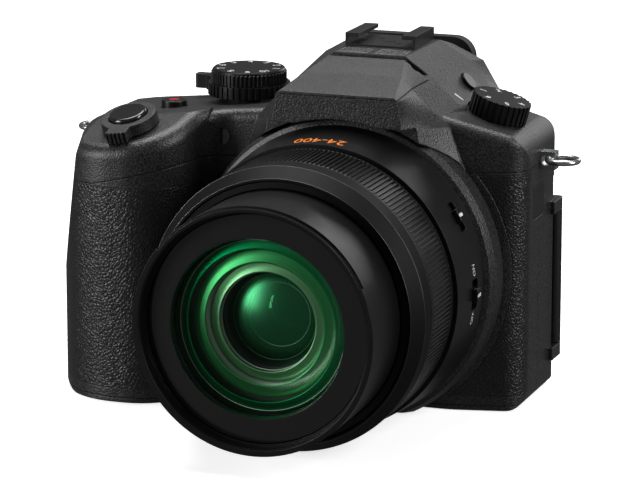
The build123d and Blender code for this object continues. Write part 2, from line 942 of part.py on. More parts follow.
with BuildPart() as top_cover:
    add(shell.part)
    add(top_region(seam / 2), mode=Mode.INTERSECT)
    add(
        common(
            zone(
                -hump_half,
                hump_half,
                pivot_y + gap,
                -hinge_line + deck_wall,
                ledge_height - wall,
                block_height,
            ),
            outer_form,
        )
    )
    add(
        zone(-hump_half, hump_half, pivot_y - over, -hinge_line, ledge_height, block_height),
        mode=Mode.SUBTRACT,
    )
    with BuildSketch(Plane.YZ):
        with BuildLine():
            Polyline(
                (-nose_reach - over, flash_seam_front - seam),
                (pivot_y, flash_seam_front - seam + (flash_seam_back - flash_seam_front)
                 * (pivot_y + nose_reach) / (nose_reach - hinge_line)),
                (pivot_y, block_height),
                (-nose_reach - over, block_height),
                close=True,
            )
        make_face()
    extrude(amount=hump_half, both=True, mode=Mode.SUBTRACT)
    add(
        zone(
            -flash_well_half,
            flash_well_half,
            -nose_reach + wall,
            pivot_y - deck_wall,
            flash_well_low,
            block_height,
        ),
        mode=Mode.SUBTRACT,
    )
    for side in (-1, 1):
        low = min(side * (knuckle_half + gap), side * (knuckle_half + gap + ear_thickness))
        add(cylinder(pivot_plane, ear_radius, low, low + ear_thickness))
        add(
            zone(low, low + ear_thickness, pivot_y + gap, -hinge_line + fit, ledge_height - fit, pivot_z)
        )
    add(cylinder(pivot_plane, pin_radius + fit, -hump_half, hump_half), mode=Mode.SUBTRACT)
    add(cylinder(grip_top, boss_radius, -wall, boss_height))
    add(common(cylinder(grip_top, boss_wall + shutter_stem, -wall * 2, 0), outer_form))
    for seat, radius, depth in shaft_seats:
        add(cylinder(seat, radius + fit, -depth - over, boss_height + over), mode=Mode.SUBTRACT)
    add(
        common(
            cylinder(
                placed(rear_dial_x, rear_dial_y, 0),
                rear_dial_radius + gap + wall,
                rear_dial_low - gap - wall,
                rear_dial_high + gap + wall,
            ),
            outer_form,
        )
    )
    add(
        cylinder(
            placed(rear_dial_x, rear_dial_y, 0),
            rear_dial_radius + gap,
            rear_dial_low - gap,
            rear_dial_high + gap,
        ),
        mode=Mode.SUBTRACT,
    )
    add(
        cylinder(
            placed(rear_dial_x, rear_dial_y, 0),
            rear_dial_shaft + fit,
            rear_dial_low - gap - wall - over,
            rear_dial_roof,
        ),
        mode=Mode.SUBTRACT,
    )
    for side in (-1, 1):
        low = min(side * grille_inner, side * grille_outer)
        add(
            zone(
                low - fit,
                low + grille_outer - grille_inner + fit,
                -grille_front - fit,
                grille_back + fit,
                grille_top - grille_thickness,
                block_height,
            ),
            mode=Mode.SUBTRACT,
        )
    add(
        zone(
            -shoe_half - fit,
            shoe_half + fit,
            shoe_front - fit,
            shoe_rear + fit,
            shoe_floor_low,
            block_height,
        ),
        mode=Mode.SUBTRACT,
    )
    add(tunnel(sleeve_radius + fit, back_plane, -nose_reach - over), mode=Mode.SUBTRACT)
    add(cylinder(lamp_plane, lamp_radius + fit, -wall - over, over), mode=Mode.SUBTRACT)
save(top_cover, "top_cover")

with BuildPart() as flash_head:
    add(common(shell.part, cap_form.part))
    add(zone(-core_half - over, core_half + over, -core_front, -core_back, core_low, core_high))
    add(cylinder(pivot_plane, knuckle_radius, -knuckle_half, knuckle_half))
    add(
        common(
            zone(
                -core_half * 2,
                core_half * 2,
                pivot_y - deck_wall,
                pivot_y,
                ledge_height - wall,
                block_height,
            ),
            common(outer_form, cap_form.part),
        )
    )
    for side in (-1, 1):
        middle = side * (knuckle_half + gap + ear_thickness / 2)
        half = ear_thickness / 2 + gap
        add(
            cylinder(pivot_plane, ear_radius + gap, middle - half, middle + half), mode=Mode.SUBTRACT
        )
    add(cylinder(pivot_plane, pin_radius + fit, -hump_half, hump_half), mode=Mode.SUBTRACT)
    add(
        zone(
            -core_half,
            core_half,
            -core_front - over,
            -core_front + window_depth,
            core_low + edge,
            core_high - over,
        ),
        mode=Mode.SUBTRACT,
    )
save(flash_head, "flash_head")

# Back of the body
screen_left = -29.5
screen_right = 44.5
screen_low = 8.0
screen_high = 60.0
screen_front = 17.2
screen_rear = 22.6
screen_clear = 0.5
recess_floor = 16.9
recess_wall = 1.4
screen_radius = 3.0
glass_border = 3.0
glass_sink = 0.5
glass_proud = 0.1
hinge_x = 47.0
hinge_y = 20.2
hinge_radius = 1.9
hinge_low = 12.0
hinge_high = 50.0
hinge_sweep = 4.3
hinge_ear_length = 3.4
hinge_ear_root = 12.5
hinge_leaf = 1.3
hinge_pin = 0.8
thumb_left = -76.0
thumb_right = -60.0
thumb_low = 38.0
thumb_high = 60.0
thumb_front = 19.9
thumb_rear = 22.4
focus_x = -45.0
focus_z = 56.0
focus_ring = 6.2
focus_ring_inner = 4.0
focus_ring_low = 0.3
focus_boss_lift = 0.1
focus_ring_high = 2.4
focus_tab_reach = 8.4
focus_tab_width = 2.6
af_radius = 3.6
play_x = -36.0
play_z = 46.0
play_radius = 2.7
pad_x = -48.0
pad_z = 27.0
pad_radius = 10.8
pad_inner = 5.4
menu_radius = 5.0
button_floor = 2.2
button_rise = 1.2
stem_depth = 5.0

# Base and grip side
door_left = -78.0
door_right = -51.0
door_front = -28.0
door_back = 8.0
door_low = 0.2
door_step = 0.4
door_hinge_radius = 0.7
door_clear = 0.25
well_left = -74.5
well_right = -55.5
well_front = -27.5
well_back = 6.5
well_wall = 1.2
well_top = 47.0
battery_bottom = 1.9
battery_height = 44.0
battery_radius = 2.0
latch_x = -70.0
latch_width = 7.0
latch_length = 4.0
latch_y = 10.4
latch_travel = 2.5
latch_floor = 0.9
socket_x = -30.0
socket_radius = 5.0
socket_flange = 7.0
socket_depth = 7.0
socket_flange_thickness = 1.2
thread_radius = 3.175
thread_depth = 5.5
screw_places = ((40.0, 17.5), (-18.0, 17.5), (33.0, -13.4), (-33.0, -13.4))
screw_head = 1.8
screw_head_low = 0.25
screw_head_high = 0.95
screw_shank = 0.8
screw_length = 5.0
screw_boss = 2.4
screw_boss_height = 8.0
side_door_front = 4.4
side_door_back = 14.4
side_door_low = 20.0
side_door_high = 46.0
side_door_inner = -70.0
flap_thickness = 1.2
flap_clear = 0.15
mic_front = -4.0
mic_back = 6.0
mic_low = 52.0
mic_high = 61.0

back_cutters = (
    (back_point(focus_x, focus_z), af_radius + gap, button_floor),
    (back_point(play_x, play_z), play_radius + gap, button_floor),
    (back_point(pad_x, pad_z), pad_radius + gap, button_floor),
)
back_stems = (
    (focus_x, focus_z, button_stem),
    (play_x, play_z, button_stem),
    (pad_x, pad_z, button_stem),
)

side_door_zone = zone(
    -grip_side - over,
    side_door_inner,
    side_door_front,
    side_door_back,
    side_door_low,
    side_door_high,
)
mic_zone = zone(
    connector_side - flap_thickness,
    connector_side + over,
    mic_front,
    mic_back,
    mic_low,
    mic_high,
)
side_door_hole = zone(
    -grip_side - over,
    side_door_inner,
    side_door_front - flap_clear,
    side_door_back + flap_clear,
    side_door_low - flap_clear,
    side_door_high + flap_clear,
)
mic_hole = zone(
    connector_side - flap_thickness - flap_clear,
    connector_side + over,
    mic_front - flap_clear,
    mic_back + flap_clear,
    mic_low - flap_clear,
    mic_high + flap_clear,
)
flap_form = casing(flap_thickness, rounded=False)
flap_seat = casing(flap_thickness + flap_clear, rounded=False)
hinge_plane = placed(hinge_x, hinge_y, 0)

with BuildPart() as door_hole:
    add(side_door_hole)
    add(flap_seat, mode=Mode.SUBTRACT)

with BuildPart() as lower_shell:
    add(shell.part)
    add(top_region(-seam / 2), mode=Mode.SUBTRACT)
    add(
        zone(
            -grip_side - over,
            connector_side + over,
            -front_plane,
            back_plane + over,
            -over,
            base_thickness,
        ),
        mode=Mode.SUBTRACT,
    )
    add(
        zone(-grip_side - over, -grip_root, -grip_reach - over, back_plane, -over, base_thickness),
        mode=Mode.SUBTRACT,
    )
    for x, y in screw_places:
        add(common(cylinder(placed(x, y, 0), screw_boss, base_thickness, screw_boss_height), skin_form))
    backing = common(
        zone(
            mic_zone.bounding_box().min.X - wall,
            connector_side,
            mic_front - wall,
            mic_back + wall,
            mic_low - wall,
            mic_high + wall,
        ),
        outer_form,
    )
    add(backing)
    add(mic_hole, mode=Mode.SUBTRACT)
    add(door_hole.part, mode=Mode.SUBTRACT)
    for x, y in screw_places:
        add(cylinder(placed(x, y, 0), screw_shank + fit, -over, screw_boss_height - wall), mode=Mode.SUBTRACT)

with BuildPart() as collar:
    revolve(
        lens_profile(
            (-front_plane, sleeve_radius + fit),
            (-collar_front, sleeve_radius + fit),
            (-collar_front, collar_radius - collar_round),
            (
                -collar_front + collar_round * collar_lip_share,
                collar_radius - collar_round * collar_slope_share,
            ),
            (-collar_front + collar_round, collar_radius),
            (-front_plane, collar_radius),
        ),
        axis=lens_axis,
    )
    add(zone(-grip_side, grip_side, -grip_side, 0, -grip_reach, cover_foot), mode=Mode.SUBTRACT)

with BuildPart() as front_cover:
    add(lower_shell.part)
    split(bisect_by=Plane.XZ.offset(-cover_split + seam / 2), keep=Keep.TOP)
    add(collar.part)
    add(tunnel(sleeve_radius + fit, -over, -collar_front - over), mode=Mode.SUBTRACT)
save(front_cover, "front_cover")

with BuildPart() as rear_cover:
    add(lower_shell.part)
    split(bisect_by=Plane.XZ.offset(-cover_split - seam / 2), keep=Keep.BOTTOM)
    add(
        common(
            zone(
                screen_left - recess_wall - screen_clear,
                hinge_x + over,
                recess_floor - recess_wall,
                back_plane,
                screen_low - recess_wall - screen_clear,
                screen_high + recess_wall + screen_clear,
            ),
            outer_form,
        )
    )
    for seat, radius, depth in back_cutters:
        add(common(cylinder(seat, radius + wall, -depth - wall, 0), outer_form))
    add(
        zone(
            screen_left - screen_clear,
            connector_side + over,
            recess_floor,
            back_plane + over,
            screen_low - screen_clear,
            screen_high + screen_clear,
        ),
        mode=Mode.SUBTRACT,
    )
    add(
        common(
            cylinder(
                hinge_plane,
                hinge_sweep + recess_wall,
                screen_low - screen_clear,
                screen_high + screen_clear,
            ),
            zone(screen_right - over, connector_side, 0, recess_floor, 0, seam_height - over),
        )
    )
    add(
        cylinder(hinge_plane, hinge_sweep, screen_low - screen_clear, screen_high + screen_clear),
        mode=Mode.SUBTRACT,
    )
    for low in (hinge_low - gap - hinge_ear_length, hinge_high + gap):
        add(cylinder(hinge_plane, hinge_radius, low, low + hinge_ear_length))
        add(
            zone(
                hinge_x - hinge_radius,
                hinge_x + hinge_radius,
                hinge_ear_root,
                hinge_y,
                low,
                low + hinge_ear_length,
            ),
        )
    add(cylinder(hinge_plane, hinge_pin, hinge_low - over, hinge_high + over))
    for seat, radius, depth in back_cutters:
        add(cylinder(seat, radius, -depth, over), mode=Mode.SUBTRACT)
    for x, z, radius in back_stems:
        add(cylinder(back_point(x, z), radius + fit, -stem_depth - over, 0), mode=Mode.SUBTRACT)
    add(
        cylinder(
            back_point(focus_x, focus_z),
            af_radius + gap + wall,
            0,
            focus_ring_low - gap / 2 + focus_boss_lift,
        ),
    )
    add(cylinder(back_point(focus_x, focus_z), af_radius + gap, -button_floor, over), mode=Mode.SUBTRACT)
    add(
        zone(thumb_left, thumb_right, thumb_front, back_plane + over, thumb_low, thumb_high),
        mode=Mode.SUBTRACT,
    )
save(rear_cover, "rear_cover")

with BuildPart() as base_cover:
    add(outer_form)
    add(
        zone(-grip_side * 2, grip_side, -grip_reach * 2, grip_reach, base_thickness - seam, block_height),
        mode=Mode.SUBTRACT,
    )
    with BuildSketch(placed((well_left + well_right) / 2, (well_front + well_back) / 2, base_thickness / 2)):
        RectangleRounded(
            well_right - well_left + 2 * well_wall,
            well_back - well_front + 2 * well_wall,
            battery_radius + well_wall,
        )
    extrude(amount=well_top - base_thickness / 2)
    with BuildSketch(placed((well_left + well_right) / 2, (well_front + well_back) / 2, -over)):
        RectangleRounded(well_right - well_left, well_back - well_front, battery_radius)
    extrude(amount=block_height, mode=Mode.SUBTRACT)
    add(
        zone(
            door_left - door_clear,
            door_right + door_hinge_radius + door_clear,
            door_front - door_clear,
            door_back + door_clear,
            -over,
            base_thickness - seam + door_step / 2,
        ),
        mode=Mode.SUBTRACT,
    )
    add(
        zone(
            latch_x - latch_width / 2 - door_clear,
            latch_x + latch_width / 2 + door_clear,
            latch_y - latch_length / 2 - door_clear,
            latch_y + latch_length / 2 + latch_travel + door_clear,
            -over,
            latch_floor,
        ),
        mode=Mode.SUBTRACT,
    )
    add(
        cylinder(placed(socket_x, 0, 0), socket_radius + fit, -over, base_thickness + over),
        mode=Mode.SUBTRACT,
    )
    add(tunnel(sleeve_radius + gap, back_plane, -front_plane - over), mode=Mode.SUBTRACT)
    for x, y in screw_places:
        add(cylinder(placed(x, y, 0), screw_head + fit, -over, screw_head_high), mode=Mode.SUBTRACT)
        add(cylinder(placed(x, y, 0), screw_shank + fit, -over, base_thickness + over), mode=Mode.SUBTRACT)
save(base_cover, "base_cover")

# Screen, its hinge and the controls at the back
with BuildPart() as screen_panel:
    with BuildSketch(
        back_point((screen_left + screen_right) / 2, (screen_low + screen_high) / 2, screen_front),
    ):
        RectangleRounded(screen_right - screen_left, screen_high - screen_low, screen_radius)
    extrude(amount=screen_rear - screen_front)
    add(
        zone(
            screen_left + glass_border,
            screen_right - glass_border,
            screen_rear - glass_sink,
            screen_rear + over,
            screen_low + glass_border,
            screen_high - glass_border,
        ),
        mode=Mode.SUBTRACT,
    )
    chamfer(screen_panel.faces().sort_by(Axis.Y)[-1].outer_wire().edges(), edge)
save(screen_panel, "screen_panel")

with BuildPart() as screen_glass:
    add(
        zone(
            screen_left + glass_border,
            screen_right - glass_border,
            screen_rear - glass_sink,
            screen_rear + glass_proud,
            screen_low + glass_border,
            screen_high - glass_border,
        )
    )
save(screen_glass, "screen_glass")

with BuildPart() as screen_hinge:
    add(cylinder(hinge_plane, hinge_radius, hinge_low, hinge_high))
    add(zone(screen_right, hinge_x, hinge_y, hinge_y + hinge_leaf, hinge_low, hinge_high))
    add(cylinder(hinge_plane, hinge_pin + fit, hinge_low - over, hinge_high + over), mode=Mode.SUBTRACT)
save(screen_hinge, "screen_hinge")

with BuildPart() as thumb_rest:
    with BuildSketch(back_point((thumb_left + thumb_right) / 2, (thumb_low + thumb_high) / 2, thumb_front)):
        RectangleRounded(thumb_right - thumb_left - fit, thumb_high - thumb_low - fit, edge)
    extrude(amount=thumb_rear - thumb_front)
    fillet(thumb_rest.faces().sort_by(Axis.Y)[-1].edges(), over)
save(thumb_rest, "thumb_rest")


def rear_button(x, z, radius, stem):
    """A round button on the back, with the stem that guides it."""
    seat = back_point(x, z)
    with BuildPart() as piece:
        add(cylinder(seat, radius, press - button_floor, button_rise))
        chamfer(piece.edges().sort_by(Axis.Y)[-1], edge)
        add(cylinder(seat, stem, -stem_depth, press - button_floor))
    return piece.part


for name, x, z, radius in (
    ("play_button", play_x, play_z, play_radius),
    ("af_lock_button", focus_x, focus_z, af_radius),
):
    with BuildPart() as button:
        add(rear_button(x, z, radius, button_stem))
    save(button, name)

with BuildPart() as focus_lever:
    seat = back_point(focus_x, focus_z, back_plane + focus_ring_low)
    with BuildSketch(seat):
        Circle(focus_ring)
        with Locations((0, focus_ring)):
            RectangleRounded(focus_tab_width, 2 * (focus_tab_reach - focus_ring), edge)
        Circle(focus_ring_inner, mode=Mode.SUBTRACT)
    extrude(amount=focus_ring_high - focus_ring_low)
save(focus_lever, "focus_lever")

with BuildPart() as direction_pad:
    seat = back_point(pad_x, pad_z)
    add(cylinder(seat, pad_radius, press * 2 - button_floor, button_rise))
    chamfer(direction_pad.edges().sort_by(Axis.Y)[-1], edge)
    add(cylinder(seat, pad_inner, -button_floor, button_rise + over), mode=Mode.SUBTRACT)
save(direction_pad, "direction_pad")

with BuildPart() as menu_button:
    add(rear_button(pad_x, pad_z, menu_radius, button_stem))
save(menu_button, "menu_button")

# Dials and buttons on top
knurl_share = 0.5


def knurled(radius, teeth, depth):
    """A round outline with square knurling cut into its edge."""
    with BuildSketch() as outline:
        Circle(radius)
        with PolarLocations(radius, teeth):
            Rectangle(2 * depth, 2 * math.pi * radius / teeth * knurl_share, mode=Mode.SUBTRACT)
    return outline.sketch


mode_teeth = 40
dial_teeth = 30
rear_teeth = 32
knurl_depth = 0.4
dial_lift = 0.2
with BuildPart() as mode_dial:
    with BuildSketch(mode_dial_seat.offset(dial_lift)):
        add(knurled(mode_dial_radius, mode_teeth, knurl_depth))
    extrude(amount=mode_dial_tier - dial_lift)
    add(cylinder(mode_dial_seat, mode_dial_tier_radius, mode_dial_tier, mode_dial_height))
    chamfer(mode_dial.faces().sort_by(Axis.Z)[-1].edges(), edge)
    add(cylinder(mode_dial_seat, mode_dial_shaft, -shaft_depth, dial_lift))
save(mode_dial, "mode_dial")

with BuildPart() as drive_dial:
    with BuildSketch(drive_dial_seat.offset(dial_lift)):
        add(knurled(drive_dial_radius, dial_teeth, knurl_depth))
    extrude(amount=drive_dial_height - dial_lift)
    add(cylinder(drive_dial_seat, drive_dial_shaft, -shaft_depth, dial_lift))
save(drive_dial, "drive_dial")

with BuildPart() as rear_dial:
    with BuildSketch(placed(rear_dial_x, rear_dial_y, rear_dial_low)):
        add(knurled(rear_dial_radius, rear_teeth, knurl_depth))
    extrude(amount=rear_dial_high - rear_dial_low)
    add(
        cylinder(
            placed(rear_dial_x, rear_dial_y, 0),
            rear_dial_shaft,
            rear_dial_low - wall,
            rear_dial_roof - gap,
        ),
    )
save(rear_dial, "rear_dial")

with BuildPart() as record_button:
    add(cylinder(record_seat, record_radius, press * 2 - record_floor, record_top))
    fillet(record_button.faces().sort_by(Axis.Z)[-1].edges(), edge)
    add(cylinder(record_seat, record_radius / 2, -shaft_depth, press * 2 - record_floor))
save(record_button, "record_button")

with BuildPart() as flash_button:
    add(cylinder(flash_button_seat, flash_button_radius, press * 2 - flash_button_floor, flash_button_top))
    add(cylinder(flash_button_seat, flash_button_radius / 2, -shaft_depth, press * 2 - flash_button_floor))
save(flash_button, "flash_button")

with BuildPart() as power_lever:
    with BuildSketch(lever_seat.offset(lever_low)):
        Circle(lever_disc_radius)
        with Locations((-lever_arm_reach / 2, 0)):
            RectangleRounded(lever_arm_reach, lever_arm_width, edge * 2)
    extrude(amount=lever_high - lever_low)
    fillet(power_lever.faces().sort_by(Axis.Z)[-1].edges(), edge)
    add(cylinder(lever_seat, lever_shaft, -shaft_depth, lever_low))
save(power_lever, "power_lever")

with BuildPart() as zoom_lever:
    with BuildSketch(grip_top.offset(zoom_ring_low)):
        Circle(zoom_ring_radius)
        with Locations((0, -zoom_ring_radius)):
            RectangleRounded(zoom_tab_width, 2 * (zoom_tab_reach - zoom_ring_radius), edge * 2)
        with Locations((0, -zoom_tab_reach)):
            with GridLocations(zoom_tab_width / zoom_tab_ribs, 0, zoom_tab_ribs, 1):
                Rectangle(zoom_tab_rib_depth, 2 * zoom_tab_rib_depth, mode=Mode.SUBTRACT)
        Circle(zoom_ring_inner, mode=Mode.SUBTRACT)
    extrude(amount=zoom_ring_high - zoom_ring_low)
save(zoom_lever, "zoom_lever")

with BuildPart() as shutter_button:
    add(cylinder(grip_top, shutter_radius, shutter_low, shutter_high))
    fillet(shutter_button.faces().sort_by(Axis.Z)[-1].edges(), edge * 2)
    add(cylinder(grip_top, shutter_stem, -shutter_stem_depth, shutter_low))
save(shutter_button, "shutter_button")

# Flash window and pin, microphones, shoe
with BuildPart() as flash_lens:
    add(
        zone(
            -core_half + fit,
            core_half - fit,
            -core_front,
            -core_front + window_depth,
            core_low + edge + fit,
            core_high - over - fit,
        )
    )
save(flash_lens, "flash_lens")

with BuildPart() as flash_pin:
    pin_half = knuckle_half + gap + ear_thickness
    add(cylinder(pivot_plane, pin_radius, -pin_half, pin_half))
save(flash_pin, "flash_pin")

with BuildPart() as mic_grilles:
    for side in (-1, 1):
        middle = side * (grille_inner + grille_outer) / 2
        low = middle - (grille_outer - grille_inner) / 2
        add(
            zone(
                low,
                low + grille_outer - grille_inner,
                -grille_front,
                grille_back,
                grille_top - grille_thickness,
                grille_top,
            )
        )
        with BuildSketch(placed(middle, (grille_back - grille_front) / 2, grille_top)):
            with GridLocations((grille_outer - grille_inner) / (grille_slots + 1), 0, grille_slots, 1):
                Rectangle(grille_slot_width, grille_back + grille_front - 2 * over)
        extrude(amount=-grille_thickness / 2, mode=Mode.SUBTRACT)
save(mic_grilles, "mic_grilles")

with BuildPart() as hot_shoe:
    add(zone(-shoe_half, shoe_half, shoe_front, shoe_rear, shoe_floor_low, shoe_lip_high))
    add(
        zone(-shoe_slot_half, shoe_slot_half, shoe_front - over, shoe_rear + over, shoe_floor, shoe_lip_low),
        mode=Mode.SUBTRACT,
    )
    add(
        zone(-shoe_lip_half, shoe_lip_half, shoe_front - over, shoe_rear + over, shoe_floor, block_height),
        mode=Mode.SUBTRACT,
    )
    add(
        zone(-contacts_half, contacts_half, contacts_front, contacts_rear, contacts_low, shoe_floor + over),
        mode=Mode.SUBTRACT,
    )
save(hot_shoe, "hot_shoe")

with BuildPart() as shoe_contacts:
    add(zone(-contacts_half, contacts_half, contacts_front, contacts_rear, contacts_low, shoe_floor))
    middle = (contacts_front + contacts_rear) / 2
    add(cylinder(placed(0, middle, shoe_floor), centre_contact_radius, -fit, contact_rise))
    for x, y in (
        (contact_pitch, contact_pitch),
        (-contact_pitch, contact_pitch),
        (contact_pitch, -contact_pitch),
    ):
        add(cylinder(placed(x, middle + y, shoe_floor), contact_radius, -fit, contact_rise))
save(shoe_contacts, "shoe_contacts")

# Viewfinder eyepiece
eyepiece_height = 83.0
eyepiece_half = 17.0
eyepiece_rise = 10.0
eyepiece_depth = 4.0
eyepiece_radius = 5.0
eye_window_half = 11.0
eye_window_rise = 7.0
eye_lens_front = 1.2
eye_lens_thickness = 1.8
eyecup_half = 19.0
eyecup_rise = 12.0
eyecup_depth = 4.6
eyecup_radius = 6.0
eyecup_window_half = 13.0
eyecup_window_rise = 8.6
eyecup_window_radius = 3.0
diopter_radius = 3.6
diopter_depth = 2.4
diopter_teeth = 20
eye_seat = back_point(0, eyepiece_height, hump_back)
with BuildPart() as eyepiece_frame:
    with BuildSketch(eye_seat):
        RectangleRounded(eyepiece_half * 2, eyepiece_rise * 2, eyepiece_radius)
    extrude(amount=eyepiece_depth)
    with BuildSketch(eye_seat.offset(eye_lens_front)):
        RectangleRounded(eye_window_half * 2, eye_window_rise * 2, edge)
    extrude(amount=eyepiece_depth, mode=Mode.SUBTRACT)
save(eyepiece_frame, "eyepiece_frame")

with BuildPart() as eyepiece_lens:
    with BuildSketch(eye_seat.offset(eye_lens_front)):
        RectangleRounded((eye_window_half - fit) * 2, (eye_window_rise - fit) * 2, edge)
    extrude(amount=eye_lens_thickness)
save(eyepiece_lens, "eyepiece_lens")

with BuildPart() as eyecup:
    with BuildSketch(eye_seat.offset(eyepiece_depth)):
        RectangleRounded(eyecup_half * 2, eyecup_rise * 2, eyecup_radius)
    extrude(amount=eyecup_depth)
    fillet(eyecup.faces().sort_by(Axis.Y)[-1].edges(), over)
    with BuildSketch(eye_seat.offset(eyepiece_depth - over)):
        RectangleRounded(eyecup_window_half * 2, eyecup_window_rise * 2, eyecup_window_radius)
    extrude(amount=eyecup_depth + 2 * over, mode=Mode.SUBTRACT)
save(eyecup, "eyecup")

with BuildPart() as diopter_dial:
    with BuildSketch(diopter_seat.offset(gap / 2)):
        add(knurled(diopter_radius, diopter_teeth, knurl_depth / 2))
    extrude(amount=diopter_depth)
    add(cylinder(diopter_seat, button_stem, -wall - over, gap))
save(diopter_dial, "diopter_dial")

# Strap lugs and rings
ring_wire = 0.8
ring_bend = 4.2
with BuildPart() as strap_lugs:
    for place in lug_places:
        x, y, z, side = place
        add(lug_block(place, lug_reach, 0))
        eye = Plane(origin=(x + side * lug_eye_reach, y, z), x_dir=(1, 0, 0), z_dir=(0, 1, 0))
        add(cylinder(eye, lug_eye, -lug_width, lug_width), mode=Mode.SUBTRACT)
save(strap_lugs, "strap_lugs")

for name, (x, y, z, side) in zip(("strap_ring_right", "strap_ring_left"), lug_places):
    with BuildPart() as strap_ring:
        middle = Plane(origin=(x + side * (lug_eye_reach + ring_bend), y, z))
        with Locations(middle):
            Torus(ring_bend, ring_wire)
    save(strap_ring, name)

# Lamp, battery, doors, base
with BuildPart() as af_lamp:
    add(cylinder(lamp_plane, lamp_radius, -lamp_depth, lamp_proud))
save(af_lamp, "af_lamp")

with BuildPart() as battery:
    with BuildSketch(
        placed((well_left + well_right) / 2, (well_front + well_back) / 2, battery_bottom)
    ):
        RectangleRounded(
            well_right - well_left - 2 * gap, well_back - well_front - 2 * gap, battery_radius - gap
        )
    extrude(amount=battery_height)
save(battery, "battery")

with BuildPart() as battery_door:
    add(zone(door_left, door_right, door_front, door_back, door_low, base_thickness - seam))
    hinge_line_plane = Plane(
        origin=(door_right, 0, door_low + door_hinge_radius),
        x_dir=(1, 0, 0),
        z_dir=(0, 1, 0),
    )
    add(cylinder(hinge_line_plane, door_hinge_radius, door_front, door_back))
save(battery_door, "battery_door")

with BuildPart() as door_latch:
    add(
        zone(
            latch_x - latch_width / 2,
            latch_x + latch_width / 2,
            latch_y - latch_length / 2,
            latch_y + latch_length / 2,
            door_low,
            latch_floor - fit,
        )
    )
save(door_latch, "door_latch")

with BuildPart() as side_door:
    add(common(outer_form, side_door_zone))
    add(flap_form, mode=Mode.SUBTRACT)
save(side_door, "side_door")

with BuildPart() as mic_cover:
    add(common(outer_form, mic_zone))
save(mic_cover, "mic_cover")

with BuildPart() as tripod_socket:
    add(cylinder(placed(socket_x, 0, 0), socket_radius, 0, socket_depth))
    add(cylinder(placed(socket_x, 0, base_thickness), socket_flange, -seam, socket_flange_thickness))
    add(cylinder(placed(socket_x, 0, 0), thread_radius, -over, thread_depth), mode=Mode.SUBTRACT)
save(tripod_socket, "tripod_socket")

with BuildPart() as cover_screws:
    for x, y in screw_places:
        add(cylinder(placed(x, y, 0), screw_head, screw_head_low, screw_head_high))
        add(cylinder(placed(x, y, 0), screw_shank, screw_head_low, screw_length))
        with BuildSketch(placed(x, y, screw_head_low)):
            Rectangle(screw_head, edge)
            Rectangle(edge, screw_head)
        extrude(amount=edge, mode=Mode.SUBTRACT)
save(cover_screws, "cover_screws")

# Inner works
chassis_left = -40.0
chassis_right = 36.0
chassis_low = 8.6
chassis_high = 74.0
chassis_thickness = 1.6
post_radius = 2.0
post_inset = 3.0
board_front = 13.2
board_thickness = 1.4
board_half = 42.0
board_low = 6.0
board_high = 66.0
chip_size = 12.0
chip_height = 0.9
sensor_half = 20.0
sensor_rise = 16.0
sensor_thickness = 3.0
sensor_window_half = 8.0
sensor_window_rise = 6.0
motor_x = -30.4
motor_z = 68.6
motor_radius = 5.0
motor_length = 16.0
motor_shaft = 1.0
with BuildPart() as chassis:
    plate_back = -flange_reach - flange_thickness
    add(
        zone(
            chassis_left,
            chassis_right,
            plate_back - chassis_thickness,
            plate_back,
            chassis_low,
            chassis_high,
        ),
    )
    add(tunnel(sleeve_radius + gap, 0, -front_plane - over), mode=Mode.SUBTRACT)
    for x in (chassis_left + post_inset, chassis_right - post_inset):
        for z in (chassis_low + post_inset, board_high - post_inset):
            post = Plane(origin=(x, plate_back - fit, z), x_dir=(1, 0, 0), z_dir=(0, 1, 0))
            add(cylinder(post, post_radius, 0, board_front - plate_back + fit))
    add(tunnel(flange_radius + gap, plate_back + flange_thickness + gap, plate_back), mode=Mode.SUBTRACT)
save(chassis, "chassis")

with BuildPart() as main_board:
    add(zone(-board_half, board_half, board_front, board_front + board_thickness, board_low, board_high))
    for side in (-1, 1):
        add(
            zone(
                side * board_half / 2 - chip_size / 2,
                side * board_half / 2 + chip_size / 2,
                board_front - chip_height,
                board_front,
                (board_low + board_high) / 2 - chip_size,
                (board_low + board_high) / 2,
            )
        )
save(main_board, "main_board")

with BuildPart() as sensor_unit:
    add(
        zone(
            -sensor_half,
            sensor_half,
            barrel_back,
            barrel_back + sensor_thickness,
            lens_height - sensor_rise,
            lens_height + sensor_rise,
        )
    )
    add(
        zone(
            -sensor_window_half,
            sensor_window_half,
            barrel_back - over,
            barrel_back + sensor_thickness / 2,
            lens_height - sensor_window_rise,
            lens_height + sensor_window_rise,
        ),
        mode=Mode.SUBTRACT,
    )
save(sensor_unit, "sensor_unit")

with BuildPart() as zoom_motor:
    motor_plane = Plane(origin=(motor_x, -flange_reach, motor_z), x_dir=(1, 0, 0), z_dir=(0, 1, 0))
    add(cylinder(motor_plane, motor_radius, 0, motor_length))
    add(cylinder(motor_plane, motor_shaft, motor_length, motor_length + 2 * over))
save(zoom_motor, "zoom_motor")
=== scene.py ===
"""Studio scene of the bridge camera: finish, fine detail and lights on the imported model."""
import json
import math

import bpy
from mathutils import Matrix, Vector


